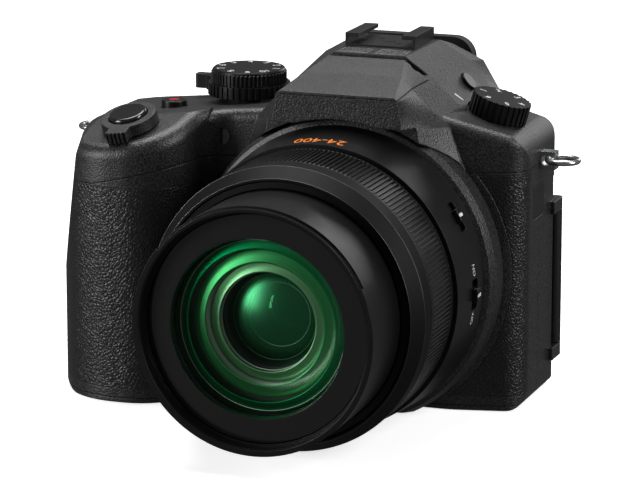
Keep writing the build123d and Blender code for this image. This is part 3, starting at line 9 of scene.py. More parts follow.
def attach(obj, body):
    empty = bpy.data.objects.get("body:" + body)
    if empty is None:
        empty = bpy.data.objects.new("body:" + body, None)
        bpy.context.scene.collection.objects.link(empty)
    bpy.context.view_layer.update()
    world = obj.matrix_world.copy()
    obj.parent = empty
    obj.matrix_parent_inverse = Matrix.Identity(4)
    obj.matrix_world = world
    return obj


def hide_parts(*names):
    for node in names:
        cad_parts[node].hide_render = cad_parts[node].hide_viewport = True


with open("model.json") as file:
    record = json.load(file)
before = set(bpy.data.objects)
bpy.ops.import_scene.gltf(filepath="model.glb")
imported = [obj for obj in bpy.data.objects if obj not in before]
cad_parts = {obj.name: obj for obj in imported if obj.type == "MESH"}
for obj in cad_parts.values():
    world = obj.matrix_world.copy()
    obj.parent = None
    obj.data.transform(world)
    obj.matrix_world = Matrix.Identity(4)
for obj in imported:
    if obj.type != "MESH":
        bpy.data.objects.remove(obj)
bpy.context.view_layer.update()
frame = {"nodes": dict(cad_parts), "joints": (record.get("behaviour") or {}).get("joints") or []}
joints = {joint["name"]: joint for joint in frame["joints"]}

MM = 0.001
AXIS_Z = joints["lens_ring_turn"]["pos_m"][2]       # height of the lens axis
LATHE_SEGMENTS = 192
RIM_SEGMENTS = 8
DISC_SIDES = 24
PINHOLE_SHARE = 0.004       # hole left at the centre of a turned cap, as a share of its radius


# Sizes read from the frame, in millimetres
def rest_points(node_name):
    """The points of a node at rest."""
    return [vertex.co / MM for vertex in frame["nodes"][node_name].data.vertices]


def span(node_name, axis):
    """The lowest and the highest place of a node along one axis."""
    places = [point[axis] for point in rest_points(node_name)]
    return min(places), max(places)


def radii(node_name):
    """The smallest and the largest radius of a node round the lens axis."""
    reaches = [math.hypot(point.x, point.z - AXIS_Z / MM) for point in rest_points(node_name)]
    return min(reaches), max(reaches)


def top_centre(node_name):
    """The middle of the top of an upright round node."""
    return Vector((sum(span(node_name, 0)) / 2, sum(span(node_name, 1)) / 2, span(node_name, 2)[1]))


# Building blocks of the materials
def new_material(name, color, roughness, metallic=0.0, specular=0.5, coat=0.0, coat_roughness=0.1):
    """A plastic, rubber or metal with its constant values set on the shader itself."""
    material = bpy.data.materials.new(name)
    material.use_nodes = True
    shader = material.node_tree.nodes["Principled BSDF"]
    shader.inputs["Base Color"].default_value = (*color, 1)
    shader.inputs["Roughness"].default_value = roughness
    shader.inputs["Metallic"].default_value = metallic
    shader.inputs["Specular IOR Level"].default_value = specular
    shader.inputs["Coat Weight"].default_value = coat
    shader.inputs["Coat Roughness"].default_value = coat_roughness
    return material


def node(material, kind, **values):
    """Adds a node and sets its inputs by name."""
    made = material.node_tree.nodes.new(kind)
    for key, value in values.items():
        made.inputs[key.replace("_", " ")].default_value = value
    return made


def join(material, source, output, target, socket):
    """Links an output of one node to an input of another."""
    material.node_tree.links.new(source.outputs[output], target.inputs[socket])


def clouds(material, size, detail=3.0):
    """A noise pattern with features of a size in metres."""
    place = node(material, "ShaderNodeTexCoord")
    pattern = node(material, "ShaderNodeTexNoise", Scale=1 / size, Detail=detail)
    join(material, place, "Object", pattern, "Vector")
    return pattern


def relief(material, pattern, output, height, strength, rounding=0.0):
    """Drives the surface normal from a pattern, over edges softened by a rounding."""
    shader = material.node_tree.nodes["Principled BSDF"]
    bump = node(material, "ShaderNodeBump", Strength=strength, Distance=height)
    join(material, pattern, output, bump, "Height")
    if rounding:
        bevel = node(material, "ShaderNodeBevel", Radius=rounding)
        join(material, bevel, "Normal", bump, "Normal")
    join(material, bump, "Normal", shader, "Normal")


def grain(material, size, height, strength, rounding=0.0, detail=3.0):
    """A cloudy relief with features of a size."""
    relief(material, clouds(material, size, detail), "Fac", height, strength, rounding)


def mottle(material, size, low, high, detail=3.0):
    """Lets clouds of a size move the roughness between two limits."""
    shader = material.node_tree.nodes["Principled BSDF"]
    ramp = node(material, "ShaderNodeMapRange", To_Min=low, To_Max=high)
    join(material, clouds(material, size, detail), "Fac", ramp, "Value")
    join(material, ramp, "Result", shader, "Roughness")


def tint(material, pattern, output, dark, light):
    """Lets a pattern blend the base colour between two tones."""
    shader = material.node_tree.nodes["Principled BSDF"]
    ramp = node(material, "ShaderNodeValToRGB")
    ramp.color_ramp.elements[0].color = (*dark, 1)
    ramp.color_ramp.elements[1].color = (*light, 1)
    join(material, pattern, output, ramp, "Fac")
    join(material, ramp, "Color", shader, "Base Color")


# The plastics and rubbers
def pebbled_plastic():
    """Fine pebbled black plastic of the covers."""
    material = new_material("pebbled_plastic", color=(0.012, 0.012, 0.013), roughness=0.42, specular=0.55)
    pebbles = clouds(material, size=0.46 * MM, detail=0.0)
    relief(material, pebbles, "Fac", height=0.12 * MM, strength=0.75, rounding=0.5 * MM)
    speckle = node(material, "ShaderNodeMapRange", From_Min=0.38, From_Max=0.62)
    join(material, pebbles, "Fac", speckle, "Value")
    tint(material, speckle, "Result", dark=(0.002, 0.002, 0.0022), light=(0.028, 0.028, 0.03))
    mottle(material, size=9 * MM, low=0.36, high=0.46)
    return material


def satin_plastic():
    """Smooth satin black of the barrels, the dials and the small controls."""
    material = new_material("satin_plastic", color=(0.006, 0.006, 0.0065), roughness=0.3, specular=0.3)
    grain(material, size=0.25 * MM, height=0.02 * MM, strength=0.35, rounding=0.25 * MM, detail=2.0)
    mottle(material, size=7 * MM, low=0.26, high=0.36)
    return material


def deep_satin_plastic():
    """Duller black of the barrel's trim."""
    material = new_material("deep_satin", color=(0.006, 0.006, 0.0065), roughness=0.42, specular=0.1)
    grain(material, size=0.25 * MM, height=0.02 * MM, strength=0.3, rounding=0.25 * MM, detail=2.0)
    mottle(material, size=7 * MM, low=0.46, high=0.56)
    return material


def gloss_plastic():
    """Polished black of the bezel and the main buttons."""
    material = new_material(
        "gloss_plastic", color=(0.008, 0.008, 0.009), roughness=0.16, specular=0.6, coat=0.3
    )
    grain(material, size=5 * MM, height=0.02 * MM, strength=0.12, rounding=0.2 * MM)
    mottle(material, size=3 * MM, low=0.12, high=0.22, detail=5.0)
    return material


def red_plastic():
    """Red of the dot on the record button."""
    material = new_material("red_plastic", color=(0.45, 0.012, 0.008), roughness=0.25, coat=0.4)
    grain(material, size=2 * MM, height=0.01 * MM, strength=0.2, rounding=0.2 * MM)
    mottle(material, size=2 * MM, low=0.2, high=0.32)
    return material


def lamp_window():
    """Dark window of the focus lamp."""
    material = new_material("focus_lamp", color=(0.05, 0.06, 0.065), roughness=0.12, coat=0.6)
    mottle(material, size=1 * MM, low=0.1, high=0.2)
    return material


def grip_leather():
    """Rubber with a leather grain: cells of a voronoi pattern, bent by a slower noise."""
    material = new_material("grip_leather", color=(0.008, 0.008, 0.009), roughness=0.4, specular=0.5)
    bend_size, bend_reach, cell_size = 2.2 * MM, 0.7 * MM, 0.95 * MM
    place = node(material, "ShaderNodeTexCoord")
    warp = node(material, "ShaderNodeTexNoise", Scale=1 / bend_size, Detail=2.0)
    bent = node(material, "ShaderNodeVectorMath")
    bent.operation = "MULTIPLY_ADD"
    bent.inputs[1].default_value = (bend_reach, bend_reach, bend_reach)
    leather = node(material, "ShaderNodeTexVoronoi", Scale=1 / cell_size)
    leather.feature = "DISTANCE_TO_EDGE"
    join(material, place, "Object", warp, "Vector")
    join(material, warp, "Color", bent, 0)
    join(material, place, "Object", bent, 2)
    join(material, bent, "Vector", leather, "Vector")
    ramp = node(material, "ShaderNodeValToRGB")
    ramp.color_ramp.elements[0].position = 0.0
    ramp.color_ramp.elements[1].position = 0.28
    join(material, leather, "Distance", ramp, "Fac")
    relief(material, ramp, "Color", height=0.13 * MM, strength=0.7, rounding=0.4 * MM)
    tint(material, ramp, "Color", dark=(0.004, 0.004, 0.005), light=(0.011, 0.011, 0.012))
    mottle(material, size=6 * MM, low=0.32, high=0.46)
    return material


def soft_rubber():
    """Matt rubber of the eyecup and the doors."""
    material = new_material("soft_rubber", color=(0.010, 0.010, 0.010), roughness=0.62, specular=0.35)
    grain(material, size=0.35 * MM, height=0.04 * MM, strength=0.5, rounding=0.3 * MM)
    mottle(material, size=5 * MM, low=0.55, high=0.7)
    return material


def print_ink(name, color):
    """Flat ink of the marks."""
    material = new_material(name, color, roughness=0.5, specular=0.3)
    grain(material, size=0.2 * MM, height=0.005 * MM, strength=0.3)
    return material


# The metals and the board
def metal(name, color, roughness):
    """Bare or plated metal with faint wear."""
    material = new_material(name, color, roughness, metallic=1.0)
    grain(material, size=0.5 * MM, height=0.01 * MM, strength=0.2, rounding=0.15 * MM)
    mottle(material, size=2 * MM, low=roughness * 0.8, high=roughness * 1.25)
    return material


def painted_metal():
    """Black lacquer on the shoe and the hinge."""
    material = new_material("painted_metal", color=(0.014, 0.014, 0.015), roughness=0.36, metallic=0.3)
    grain(material, size=0.3 * MM, height=0.03 * MM, strength=0.4, rounding=0.2 * MM)
    mottle(material, size=3 * MM, low=0.3, high=0.42)
    return material


def mesh_metal():
    """Punched sheet of the microphone grilles."""
    material = new_material("mesh_metal", color=(0.02, 0.02, 0.021), roughness=0.4, metallic=0.5)
    hole_pitch = 0.8 * MM
    place = node(material, "ShaderNodeTexCoord")
    holes = node(material, "ShaderNodeTexVoronoi", Scale=1 / hole_pitch)
    holes.feature = "SMOOTH_F1"
    join(material, place, "Object", holes, "Vector")
    relief(material, holes, "Distance", height=0.2 * MM, strength=0.9)
    tint(material, holes, "Distance", dark=(0.001, 0.001, 0.001), light=(0.4, 0.4, 0.41))
    return material


def solder_mask():
    """Green lacquer of the circuit board."""
    material = new_material("solder_mask", color=(0.01, 0.12, 0.04), roughness=0.4, coat=0.4)
    mottle(material, size=1.5 * MM, low=0.3, high=0.5)
    return material


# The glass and what is seen through it
def coated_glass(name, reflection, body, base_reflect, roughness):
    """Coated glass: a coloured reflection over a clear or tinted body."""
    material = bpy.data.materials.new(name)
    material.use_nodes = True
    tree = material.node_tree
    tree.nodes.clear()
    output = tree.nodes.new("ShaderNodeOutputMaterial")
    gloss = node(material, "ShaderNodeBsdfGlossy", Roughness=roughness)
    gloss.inputs["Color"].default_value = (*reflection, 1)
    clear = node(material, "ShaderNodeBsdfTransparent")
    clear.inputs["Color"].default_value = (*body, 1)
    facing = node(material, "ShaderNodeLayerWeight", Blend=0.25)
    share = node(material, "ShaderNodeMapRange", To_Min=base_reflect, To_Max=0.6)
    mix = tree.nodes.new("ShaderNodeMixShader")
    join(material, facing, "Fresnel", share, "Value")
    join(material, share, "Result", mix, 0)
    join(material, clear, "BSDF", mix, 1)
    join(material, gloss, "BSDF", mix, 2)
    join(material, mix, "Shader", output, "Surface")
    return material


def screen_face():
    """Dark glass of the screen."""
    material = new_material(
        "screen_glass", color=(0.004, 0.005, 0.006), roughness=0.08,
        specular=0.7, coat=0.8, coat_roughness=0.02,
    )
    mottle(material, size=12 * MM, low=0.06, high=0.11)
    return material


def inner_black_paint():
    """Flat black of the seats and baffles inside the lens."""
    material = new_material("inner_black", color=(0.004, 0.005, 0.005), roughness=0.45)
    grain(material, size=0.3 * MM, height=0.02 * MM, strength=0.3)
    return material


def edge_of_glass():
    """Pale paint of the thin rings at the edges of the lens elements: painted highlight lines that stand in
    for the light caught at those edges.
    """
    material = new_material("edge_highlight_paint", color=(0.8, 0.9, 0.8), roughness=0.2, coat=0.5)
    mottle(material, size=3 * MM, low=0.12, high=0.2)
    return material


def deep_green_glow():
    """Dark green on the disc at the far end of the lens: a painted reflection that stands in for the green
    of the coatings seen deep inside.
    """
    material = new_material("green_reflection_paint", color=(0.004, 0.05, 0.015), roughness=0.25)
    mottle(material, size=3 * MM, low=0.2, high=0.3)
    return material


PEBBLED = pebbled_plastic()
SATIN = satin_plastic()
DEEP_SATIN = deep_satin_plastic()
GLOSS = gloss_plastic()
RED = red_plastic()
LAMP_WINDOW = lamp_window()
LEATHER = grip_leather()
RUBBER = soft_rubber()
WHITE_INK = print_ink("white_ink", color=(0.75, 0.75, 0.75))
ORANGE_INK = print_ink("orange_ink", color=(0.85, 0.22, 0.02))
STEEL = metal("plated_steel", color=(0.55, 0.56, 0.57), roughness=0.24)
ALLOY = metal("bare_alloy", color=(0.5, 0.5, 0.51), roughness=0.35)
# metal of the thin hoops that paint the highlight lines on the trim
TRIM_HIGHLIGHT_METAL = metal("painted_trim_highlight", color=(0.12, 0.12, 0.125), roughness=0.3)
DARK_METAL = painted_metal()
MESH_METAL = mesh_metal()
BOARD = solder_mask()
SCREEN = screen_face()
INNER_BLACK = inner_black_paint()
EDGE_HIGHLIGHT = edge_of_glass()
GREEN_REFLECTION_DISC = deep_green_glow()

ELEMENT_LOOK = {"body": (0.85, 0.93, 0.88), "base_reflect": 0.55, "roughness": 0.38}
FRONT_GLASS = coated_glass(
    "front_glass", reflection=(0.5, 0.85, 0.6), body=(0.95, 0.98, 0.96), base_reflect=0.01, roughness=0.03
)
GREEN_GLASS = coated_glass("green_glass", reflection=(0.0, 0.34, 0.1), **ELEMENT_LOOK)
MIDDLE_GLASS = coated_glass("middle_glass", reflection=(0.08, 0.56, 0.18), **ELEMENT_LOOK)
PALE_GLASS = coated_glass("pale_glass", reflection=(0.34, 0.8, 0.4), **ELEMENT_LOOK)
HOLLOW_GLASS = coated_glass(
    "hollow_glass", reflection=(0.6, 0.74, 0.6), body=(0.1, 0.14, 0.11), base_reflect=0.8, roughness=0.42
)
FIFTH_GLASS = coated_glass(
    "fifth_glass", reflection=(0.1, 0.6, 0.25), body=(0.6, 0.8, 0.68), base_reflect=0.3, roughness=0.3
)
DEEP_GLASS = coated_glass(
    "deep_glass", reflection=(0.2, 0.8, 0.4), body=(0.3, 0.6, 0.4), base_reflect=0.1, roughness=0.06
)
CLEAR = coated_glass(
    "clear_window", reflection=(0.8, 0.85, 0.9), body=(0.5, 0.52, 0.55), base_reflect=0.1, roughness=0.03
)

FINISHES = {
    "front_cover": PEBBLED, "top_cover": PEBBLED, "rear_cover": PEBBLED, "base_cover": PEBBLED,
    "grip_skin": LEATHER, "side_skin": LEATHER, "thumb_rest": LEATHER,
    "fixed_barrel": SATIN, "trim_ring": DEEP_SATIN, "lens_ring": SATIN, "cam_tube": ALLOY,
    "mid_barrel": SATIN, "front_barrel": SATIN, "front_bezel": GLOSS, "front_lens": FRONT_GLASS,
    "iris_unit": DARK_METAL, "rear_lens": DEEP_GLASS, "zoom_motor": STEEL,
    "upper_lens_switch": SATIN, "lower_lens_switch": SATIN,
    "shutter_button": GLOSS, "zoom_lever": PEBBLED, "mode_dial": SATIN, "drive_dial": SATIN,
    "power_lever": SATIN, "record_button": SATIN, "flash_head": PEBBLED, "flash_lens": CLEAR,
    "flash_pin": STEEL, "flash_button": SATIN, "mic_grilles": MESH_METAL, "hot_shoe": DARK_METAL,
    "shoe_contacts": DARK_METAL, "af_lamp": LAMP_WINDOW, "strap_lugs": STEEL, "strap_ring_left": STEEL,
    "strap_ring_right": STEEL, "eyepiece_frame": PEBBLED, "mic_cover": RUBBER, "chassis": ALLOY,
    "battery": SATIN, "main_board": BOARD, "sensor_unit": DARK_METAL, "tripod_socket": STEEL,
    "eyepiece_lens": CLEAR, "eyecup": RUBBER, "diopter_dial": SATIN, "screen_panel": PEBBLED,
    "screen_glass": SCREEN, "screen_hinge": DARK_METAL, "rear_dial": SATIN, "focus_lever": SATIN,
    "af_lock_button": SATIN, "play_button": SATIN, "direction_pad": SATIN, "menu_button": GLOSS,
    "battery_door": PEBBLED, "door_latch": SATIN, "side_door": RUBBER, "cover_screws": DARK_METAL,
}


def dress_nodes():
    """Gives every carried-over node its finish."""
    for name, item in frame["nodes"].items():
        for slot in item.material_slots:
            slot.material = FINISHES[name]
        if not item.material_slots:
            item.data.materials.append(FINISHES[name])


# Meshes
def add_piece(name, mesh, material, body):
    """Shows a mesh as a piece of one material that rides on a body."""
    mesh.materials.clear()
    mesh.materials.append(material)
    piece = bpy.data.objects.new(name, mesh)
    bpy.context.scene.collection.objects.link(piece)
    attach(piece, body)
    return piece


def add_mesh(name, points, faces, material, body, smooth):
    """A piece made from points in metres and faces."""
    mesh = bpy.data.meshes.new(name)
    mesh.from_pydata(points, [], faces)
    mesh.update()
    for face in mesh.polygons:
        face.use_smooth = smooth
    return add_piece(name, mesh, material, body)


def round_axis(y, radius, angle):
    """A point round the lens axis, from millimetres to metres."""
    return (radius * MM * math.cos(angle), y * MM, AXIS_Z + radius * MM * math.sin(angle))


def loop_faces(lines, count, spans):
    """The faces between neighbouring lines of points that go once round."""
    faces = []
    for line in range(lines):
        here, there = line * count, (line + 1) % lines * count
        for step in range(spans):
            ahead = (step + 1) % count
            faces.append((here + step, here + ahead, there + ahead, there + step))
    return faces


def stack_faces(layers, sides):
    """The faces of stacked outlines with the same number of points, closed below and above."""
    faces = [tuple(reversed(range(sides)))]
    for layer in range(layers - 1):
        low, high = layer * sides, (layer + 1) * sides
        for step in range(sides):
            after = (step + 1) % sides
            faces.append((low + step, low + after, high + after, high + step))
    faces.append(tuple(range((layers - 1) * sides, layers * sides)))
    return faces


def lathe(name, profile, material, body="front_group", closed=True):
    """A piece turned round the lens axis from points (y, radius) in millimetres; an open one is a sheet."""
    points = []
    for turn in range(LATHE_SEGMENTS):
        angle = 2 * math.pi * turn / LATHE_SEGMENTS
        points += [round_axis(y, radius, angle) for y, radius in profile]
    count = len(profile)
    faces = loop_faces(LATHE_SEGMENTS, count, count if closed else count - 1)
    return add_mesh(name, points, faces, material, body, smooth=True)


def basis(origin, right, normal):
    """A matrix whose X is right and whose Z is the normal, at an origin in millimetres."""
    z = Vector(normal).normalized()
    x = (Vector(right) - Vector(right).dot(z) * z).normalized()
    y = z.cross(x)
    return Matrix.Translation(Vector(origin) * MM) @ Matrix((x, y, z)).transposed().to_4x4()


def text_mesh(text, size, thickness):
    """The mesh of a short text, flat in XY and centred; the sizes are in millimetres."""
    curve = bpy.data.curves.new("text", "FONT")
    curve.body = text
    curve.size = size * MM
    curve.extrude = thickness * MM
    curve.align_x = "CENTER"
    curve.align_y = "CENTER"
    source = bpy.data.objects.new("text", curve)
    bpy.context.scene.collection.objects.link(source)
    mesh = bpy.data.meshes.new_from_object(source.evaluated_get(bpy.context.evaluated_depsgraph_get()))
    bpy.data.objects.remove(source)
    bpy.data.curves.remove(curve)
    return mesh


# The ring under the fingers
RING_COVER = 0.02           # reach of the ribbed ring past the solid ring at each end
RIB_COUNT = 190
RIB_DEPTH = 0.55
PLAIN_STRIP = 0.9           # plain strip at each end of the ring
STRIP_SLOPE = 0.3           # length of the slopes beside the strip
STRIP_DROP = 0.1            # the strip lies this far below the ribs
# share of the pitch, share of the depth
RIB_SHARES = ((0.0, 0.0), (0.44, 0.0), (0.56, 1.0), (0.88, 1.0))


def ribbed_ring():
    """The ring under the fingers, with fine straight ribs."""
    bore, crest = radii("lens_ring")
    front, back = span("lens_ring", 1)
    front -= RING_COVER
    back += RING_COVER
    strip_radius = crest - STRIP_DROP
    stations = (
        (front, crest - RIB_DEPTH, 0.0),
        (front + STRIP_SLOPE, strip_radius, 0.0),
        (front + PLAIN_STRIP, strip_radius, 0.0),
        (front + PLAIN_STRIP + STRIP_SLOPE, crest, 1.0),
        (back - PLAIN_STRIP - STRIP_SLOPE, crest, 1.0),
        (back - PLAIN_STRIP, strip_radius, 0.0),
        (back - STRIP_SLOPE, strip_radius, 0.0),
        (back, crest - RIB_DEPTH, 0.0),
        (back, bore, 0.0),
        (front, bore, 0.0),
    )
    points = []
    for rib in range(RIB_COUNT):
        for share, depth in RIB_SHARES:
            angle = 2 * math.pi * (rib + share) / RIB_COUNT
            points += [round_axis(y, radius - depth * cut * RIB_DEPTH, angle) for y, radius, cut in stations]
    count = len(stations)
    faces = loop_faces(RIB_COUNT * len(RIB_SHARES), count, count)
    ring = add_mesh("finger_ring", points, faces, SATIN, "ring", smooth=False)
    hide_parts("lens_ring")


# The front glass and what stands behind it: each depth counts from the glass's foremost point
GLASS_TOP = span("front_lens", 1)[0]
GLASS_GAP = 0.05
GLASS_RADIUS = radii("front_lens")[1] - GLASS_GAP
GLASS_BULGE = 1.6
GLASS_EDGE_DEPTH = 8.2
GLASS_STEPS = 16
# depth and radius of each corner
SEAT_POINTS = ((1.9, 24.4), (2.6, 23.7), (7.4, 23.7), (7.4, 24.5))
TUBE_POINTS = ((7.4, 23.6), (11.4, 13.6), (12.0, 13.6), (8.4, 23.6))
# name, depth at the outer edge, outer radius, inner radius, material
BANDS = (
    ("second_element", 4.4, 23.2, 20.2, GREEN_GLASS),
    ("third_element", 6.6, 19.8, 16.2, MIDDLE_GLASS),
    ("fourth_element", 8.6, 16.0, 13.2, PALE_GLASS),
)
BAND_SLOPE = 0.3            # rise towards the front for each millimetre inwards
BAND_STEPS = 8
BAND_WALL = 0.2
# name, depth of the top, radius, sag, material
DOMES = (
    ("fifth_element", 10.4, 12.8, 3.0, FIFTH_GLASS),
    ("sixth_element", 17.4, 8.4, 2.4, DEEP_GLASS),
)
DOME_RINGS = 24
# Thin pale rings at the edges of the lens elements: painted highlight lines
# name, depth, radius, thickness
EDGE_HIGHLIGHT_RINGS = (
    ("front_edge_highlight", 4.2, 22.6, 0.1),
    ("fourth_edge_highlight", 9.2, 13.1, 0.14),
    ("inner_edge_highlight", 13.4, 11.4, 0.1),
    ("sixth_edge_highlight", 16.7, 8.6, 0.15),
)
BAFFLE_COUNT = 8
BAFFLE_PITCH, BAFFLE_SHRINK = 2.5, 0.72
BAFFLE_TOOTH, BAFFLE_SLOPE, BAFFLE_WIDTH = 0.6, 0.3, 0.9
TUNNEL_DEPTH, TUNNEL_RADIUS = 11.2, 13.5
FIRST_BAFFLE_DEPTH, FIRST_BAFFLE_RADIUS = 11.8, 13.0
TUNNEL_END_DEPTH, TUNNEL_END_RADIUS = 34.4, 7.0
SHELL_DEPTH, SHELL_RADIUS = 12.4, 14.2
END_DISC_DEPTH, END_DISC_HOLE, END_DISC_RADIUS = 33.5, 0.02, 9.6

# The bright lines on the barrel's trim: thin metal hoops at the trim's edges that stand in for its
# highlights, painted highlight lines
TRIM_FRONT = span("trim_ring", 1)[0]
TRIM_RADIUS = radii("trim_ring")[1]
# name, depth behind the trim's front, depth inside its radius
TRIM_HIGHLIGHT_LINES = (("trim_outer_highlight", 4.25, 0.08), ("trim_inner_highlight", 0.08, 2.65))
TRIM_HIGHLIGHT_WIDTH = 0.1


def behind_glass(pairs):
    """Profile points from pairs of a depth behind the glass's foremost point and a radius."""
    return [(GLASS_TOP + depth, radius) for depth, radius in pairs]


def hoop(name, y, radius, thickness, material, body="front_group"):
    """A thin round line about the lens axis."""
    profile = []
    for step in range(RIM_SEGMENTS):
        angle = 2 * math.pi * step / RIM_SEGMENTS
        profile.append((y + thickness * math.sin(angle), radius + thickness * math.cos(angle)))
    lathe(name, profile, material, body)


def band(name, depth, outer, inner, material):
    """One sloped step of the glass, foremost at its inner edge."""
    rise = (outer - inner) * BAND_SLOPE
    pairs = []
    for step in range(BAND_STEPS + 1):
        share = step / BAND_STEPS
        pairs.append((depth - rise * share, outer + (inner - outer) * share))
    pairs += [(depth - rise + BAND_WALL, inner), (depth + BAND_WALL, outer)]
    lathe(name, behind_glass(pairs), material)


def dome(name, depth, radius, sag, material):
    """A cap of glass that bulges to the front."""
    pairs = []
    for step in range(DOME_RINGS + 1):
        share = PINHOLE_SHARE + (1 - PINHOLE_SHARE) * step / DOME_RINGS
        pairs.append((depth + sag * share ** 2, radius * share))
    lathe(name, behind_glass(pairs), material, closed=False)


def front_glass():
    """The front glass, bulged to the front."""
    pairs = []
    for step in range(GLASS_STEPS + 1):
        share = step / GLASS_STEPS
        pairs.append((GLASS_BULGE * share ** 2, GLASS_RADIUS * max(share, PINHOLE_SHARE)))
    pairs.append((GLASS_EDGE_DEPTH, GLASS_RADIUS))
    front = lathe("front_element", behind_glass(pairs), FRONT_GLASS, closed=False)
    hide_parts("front_lens")


def inner_baffles():
    """The stepped black tunnel behind the elements."""
    pairs = [(TUNNEL_DEPTH, TUNNEL_RADIUS)]
    for step in range(BAFFLE_COUNT):
        depth = FIRST_BAFFLE_DEPTH + step * BAFFLE_PITCH
        crest = FIRST_BAFFLE_RADIUS - step * BAFFLE_SHRINK
        foot = crest - BAFFLE_TOOTH
        pairs += [(depth, crest), (depth + BAFFLE_SLOPE, foot), (depth + BAFFLE_WIDTH, foot)]
    pairs += [
        (TUNNEL_END_DEPTH, TUNNEL_END_RADIUS),
        (TUNNEL_END_DEPTH, SHELL_RADIUS),
        (SHELL_DEPTH, SHELL_RADIUS),
    ]
    lathe("inner_baffles", behind_glass(pairs), INNER_BLACK)


def lens_glass():
    """The front glass, the elements and baffles behind it, and the painted highlight lines on the trim and
    at the element edges.
    """
    front_glass()
    lathe("front_seat", behind_glass(SEAT_POINTS), INNER_BLACK)
    lathe("lens_tube", behind_glass(TUBE_POINTS), HOLLOW_GLASS)
    inner_baffles()
    for values in BANDS:
        band(*values)
    for values in DOMES:
        dome(*values)
    # the painted highlight lines on the trim's edges
    for name, depth, inset in TRIM_HIGHLIGHT_LINES:
        hoop(name, TRIM_FRONT + depth, TRIM_RADIUS - inset, TRIM_HIGHLIGHT_WIDTH, TRIM_HIGHLIGHT_METAL, "camera")
    # the painted highlight rings at the element edges
    for name, depth, radius, thickness in EDGE_HIGHLIGHT_RINGS:
        hoop(name, GLASS_TOP + depth, radius, thickness, EDGE_HIGHLIGHT)
    # the far disc painted dark green: painted reflection
    end_disc = ((END_DISC_DEPTH, END_DISC_HOLE), (END_DISC_DEPTH, END_DISC_RADIUS))
    lathe("end_disc", behind_glass(end_disc), GREEN_REFLECTION_DISC, closed=False)


# Print on the fixed barrel
BARREL_FRONT, BARREL_FRONT_RADIUS = -45.5, 39.4
BARREL_BACK, BARREL_BACK_RADIUS = -27.2, radii("fixed_barrel")[1]
BARREL_INK = 0.01
PRINT_LIFT = 0.02
RANGE_TEXT, RANGE_SIZE, RANGE_Y, RANGE_TURN = "24-400", 5.2, -41.6, 91


def barrel_radius(y):
    """The radius of the fixed barrel's cone at a place along it."""
    share = (y - BARREL_FRONT) / (BARREL_BACK - BARREL_FRONT)
    return BARREL_FRONT_RADIUS + (BARREL_BACK_RADIUS - BARREL_FRONT_RADIUS) * share


def barrel_print(name, text, size, y_centre, degrees, material):
    """Print wrapped round the fixed barrel, its top towards the front."""
    mesh = text_mesh(text, size, BARREL_INK)
    for vertex in mesh.vertices:
        across, up, out = vertex.co / MM
        y = y_centre - up
        angle = math.radians(degrees) + across / barrel_radius(y_centre)
        vertex.co = round_axis(y, barrel_radius(y) + PRINT_LIFT + out, angle)
    add_piece(name, mesh, material, "camera")


# Marks on the dials
FLAT_INK = 0.02
MODE_TOP = top_centre("mode_dial")
MODE_MARKS = [str(number) for number in range(1, 11)]
MODE_MARK_RADIUS, MODE_MARK_SIZE, MODE_MARK_LIFT = 8.0, 3.2, 0.01
KNURL_RIBS, KNURL_LINES = 56, 4                 # ribs, and lines of points for each rib
KNURL_DROP, KNURL_HEIGHT = 0.7, 3.3             # below the dial's top
KNURL_FOOT, KNURL_CREST = 10.25, 10.65
KNURL_BEVEL = 0.3
DRIVE_CENTRE = Vector((36.54, 2.5, 84.36))      # middle of the dial's top face
DRIVE_NORMAL = Vector((0.275, 0.0, 0.961))
DRIVE_MARKS = [str(number) for number in range(1, 7)]
DRIVE_MARK_RADIUS, DRIVE_MARK_SIZE, DRIVE_MARK_LIFT = 5.6, 3.0, 0.02


def place_text(name, text, size, matrix, material, body):
    """A short text laid on a plane given by a matrix."""
    mesh = text_mesh(text, size, FLAT_INK)
    mesh.transform(matrix)
    add_piece(name, mesh, material, body)


def mode_dial_marks():
    """White marks round the top of the mode dial."""
    upright = Vector((0, 0, 1))
    centre = MODE_TOP + upright * MODE_MARK_LIFT
    for step, mark in enumerate(MODE_MARKS):
        angle = 2 * math.pi * step / len(MODE_MARKS)
        outward = Vector((math.cos(angle), math.sin(angle), 0))
        place = basis(centre + outward * MODE_MARK_RADIUS, outward.cross(upright), upright)
        place_text("mode_mark_%d" % step, mark, MODE_MARK_SIZE, place, WHITE_INK, "mode")


def drive_dial_marks():
    """White marks round the top of the dial on the right shoulder."""
    normal = DRIVE_NORMAL.normalized()
    ahead = Vector((0, 1, 0))
    side = normal.cross(ahead).normalized()
    for step, mark in enumerate(DRIVE_MARKS):
        angle = 2 * math.pi * step / len(DRIVE_MARKS)
        outward = side * math.cos(angle) + ahead * math.sin(angle)
        origin = DRIVE_CENTRE + outward * DRIVE_MARK_RADIUS + normal * DRIVE_MARK_LIFT
        place = basis(origin, outward.cross(normal), normal)
        place_text("drive_mark_%d" % step, mark, DRIVE_MARK_SIZE, place, WHITE_INK, "drive")


def mode_knurl():
    """The ribbed sleeve round the upper tier of the mode dial."""
    lines = KNURL_RIBS * KNURL_LINES
    high = MODE_TOP.z - KNURL_DROP
    low = high - KNURL_HEIGHT
    points = []
    for line in range(lines):
        angle = 2 * math.pi * line / lines
        reach = KNURL_CREST if line % KNURL_LINES in (1, 2) else KNURL_FOOT
        profile = (
            (low, reach),
            (high - KNURL_BEVEL, reach),
            (high, KNURL_FOOT),
            (high, KNURL_FOOT - KNURL_BEVEL),
            (low, KNURL_FOOT - KNURL_BEVEL),
        )
        for z, radius in profile:
            x = MODE_TOP.x + radius * math.cos(angle)
            y = MODE_TOP.y + radius * math.sin(angle)
            points.append((x * MM, y * MM, z * MM))
    count = len(profile)
    add_mesh("mode_knurl", points, loop_faces(lines, count, count), SATIN, "mode", smooth=False)


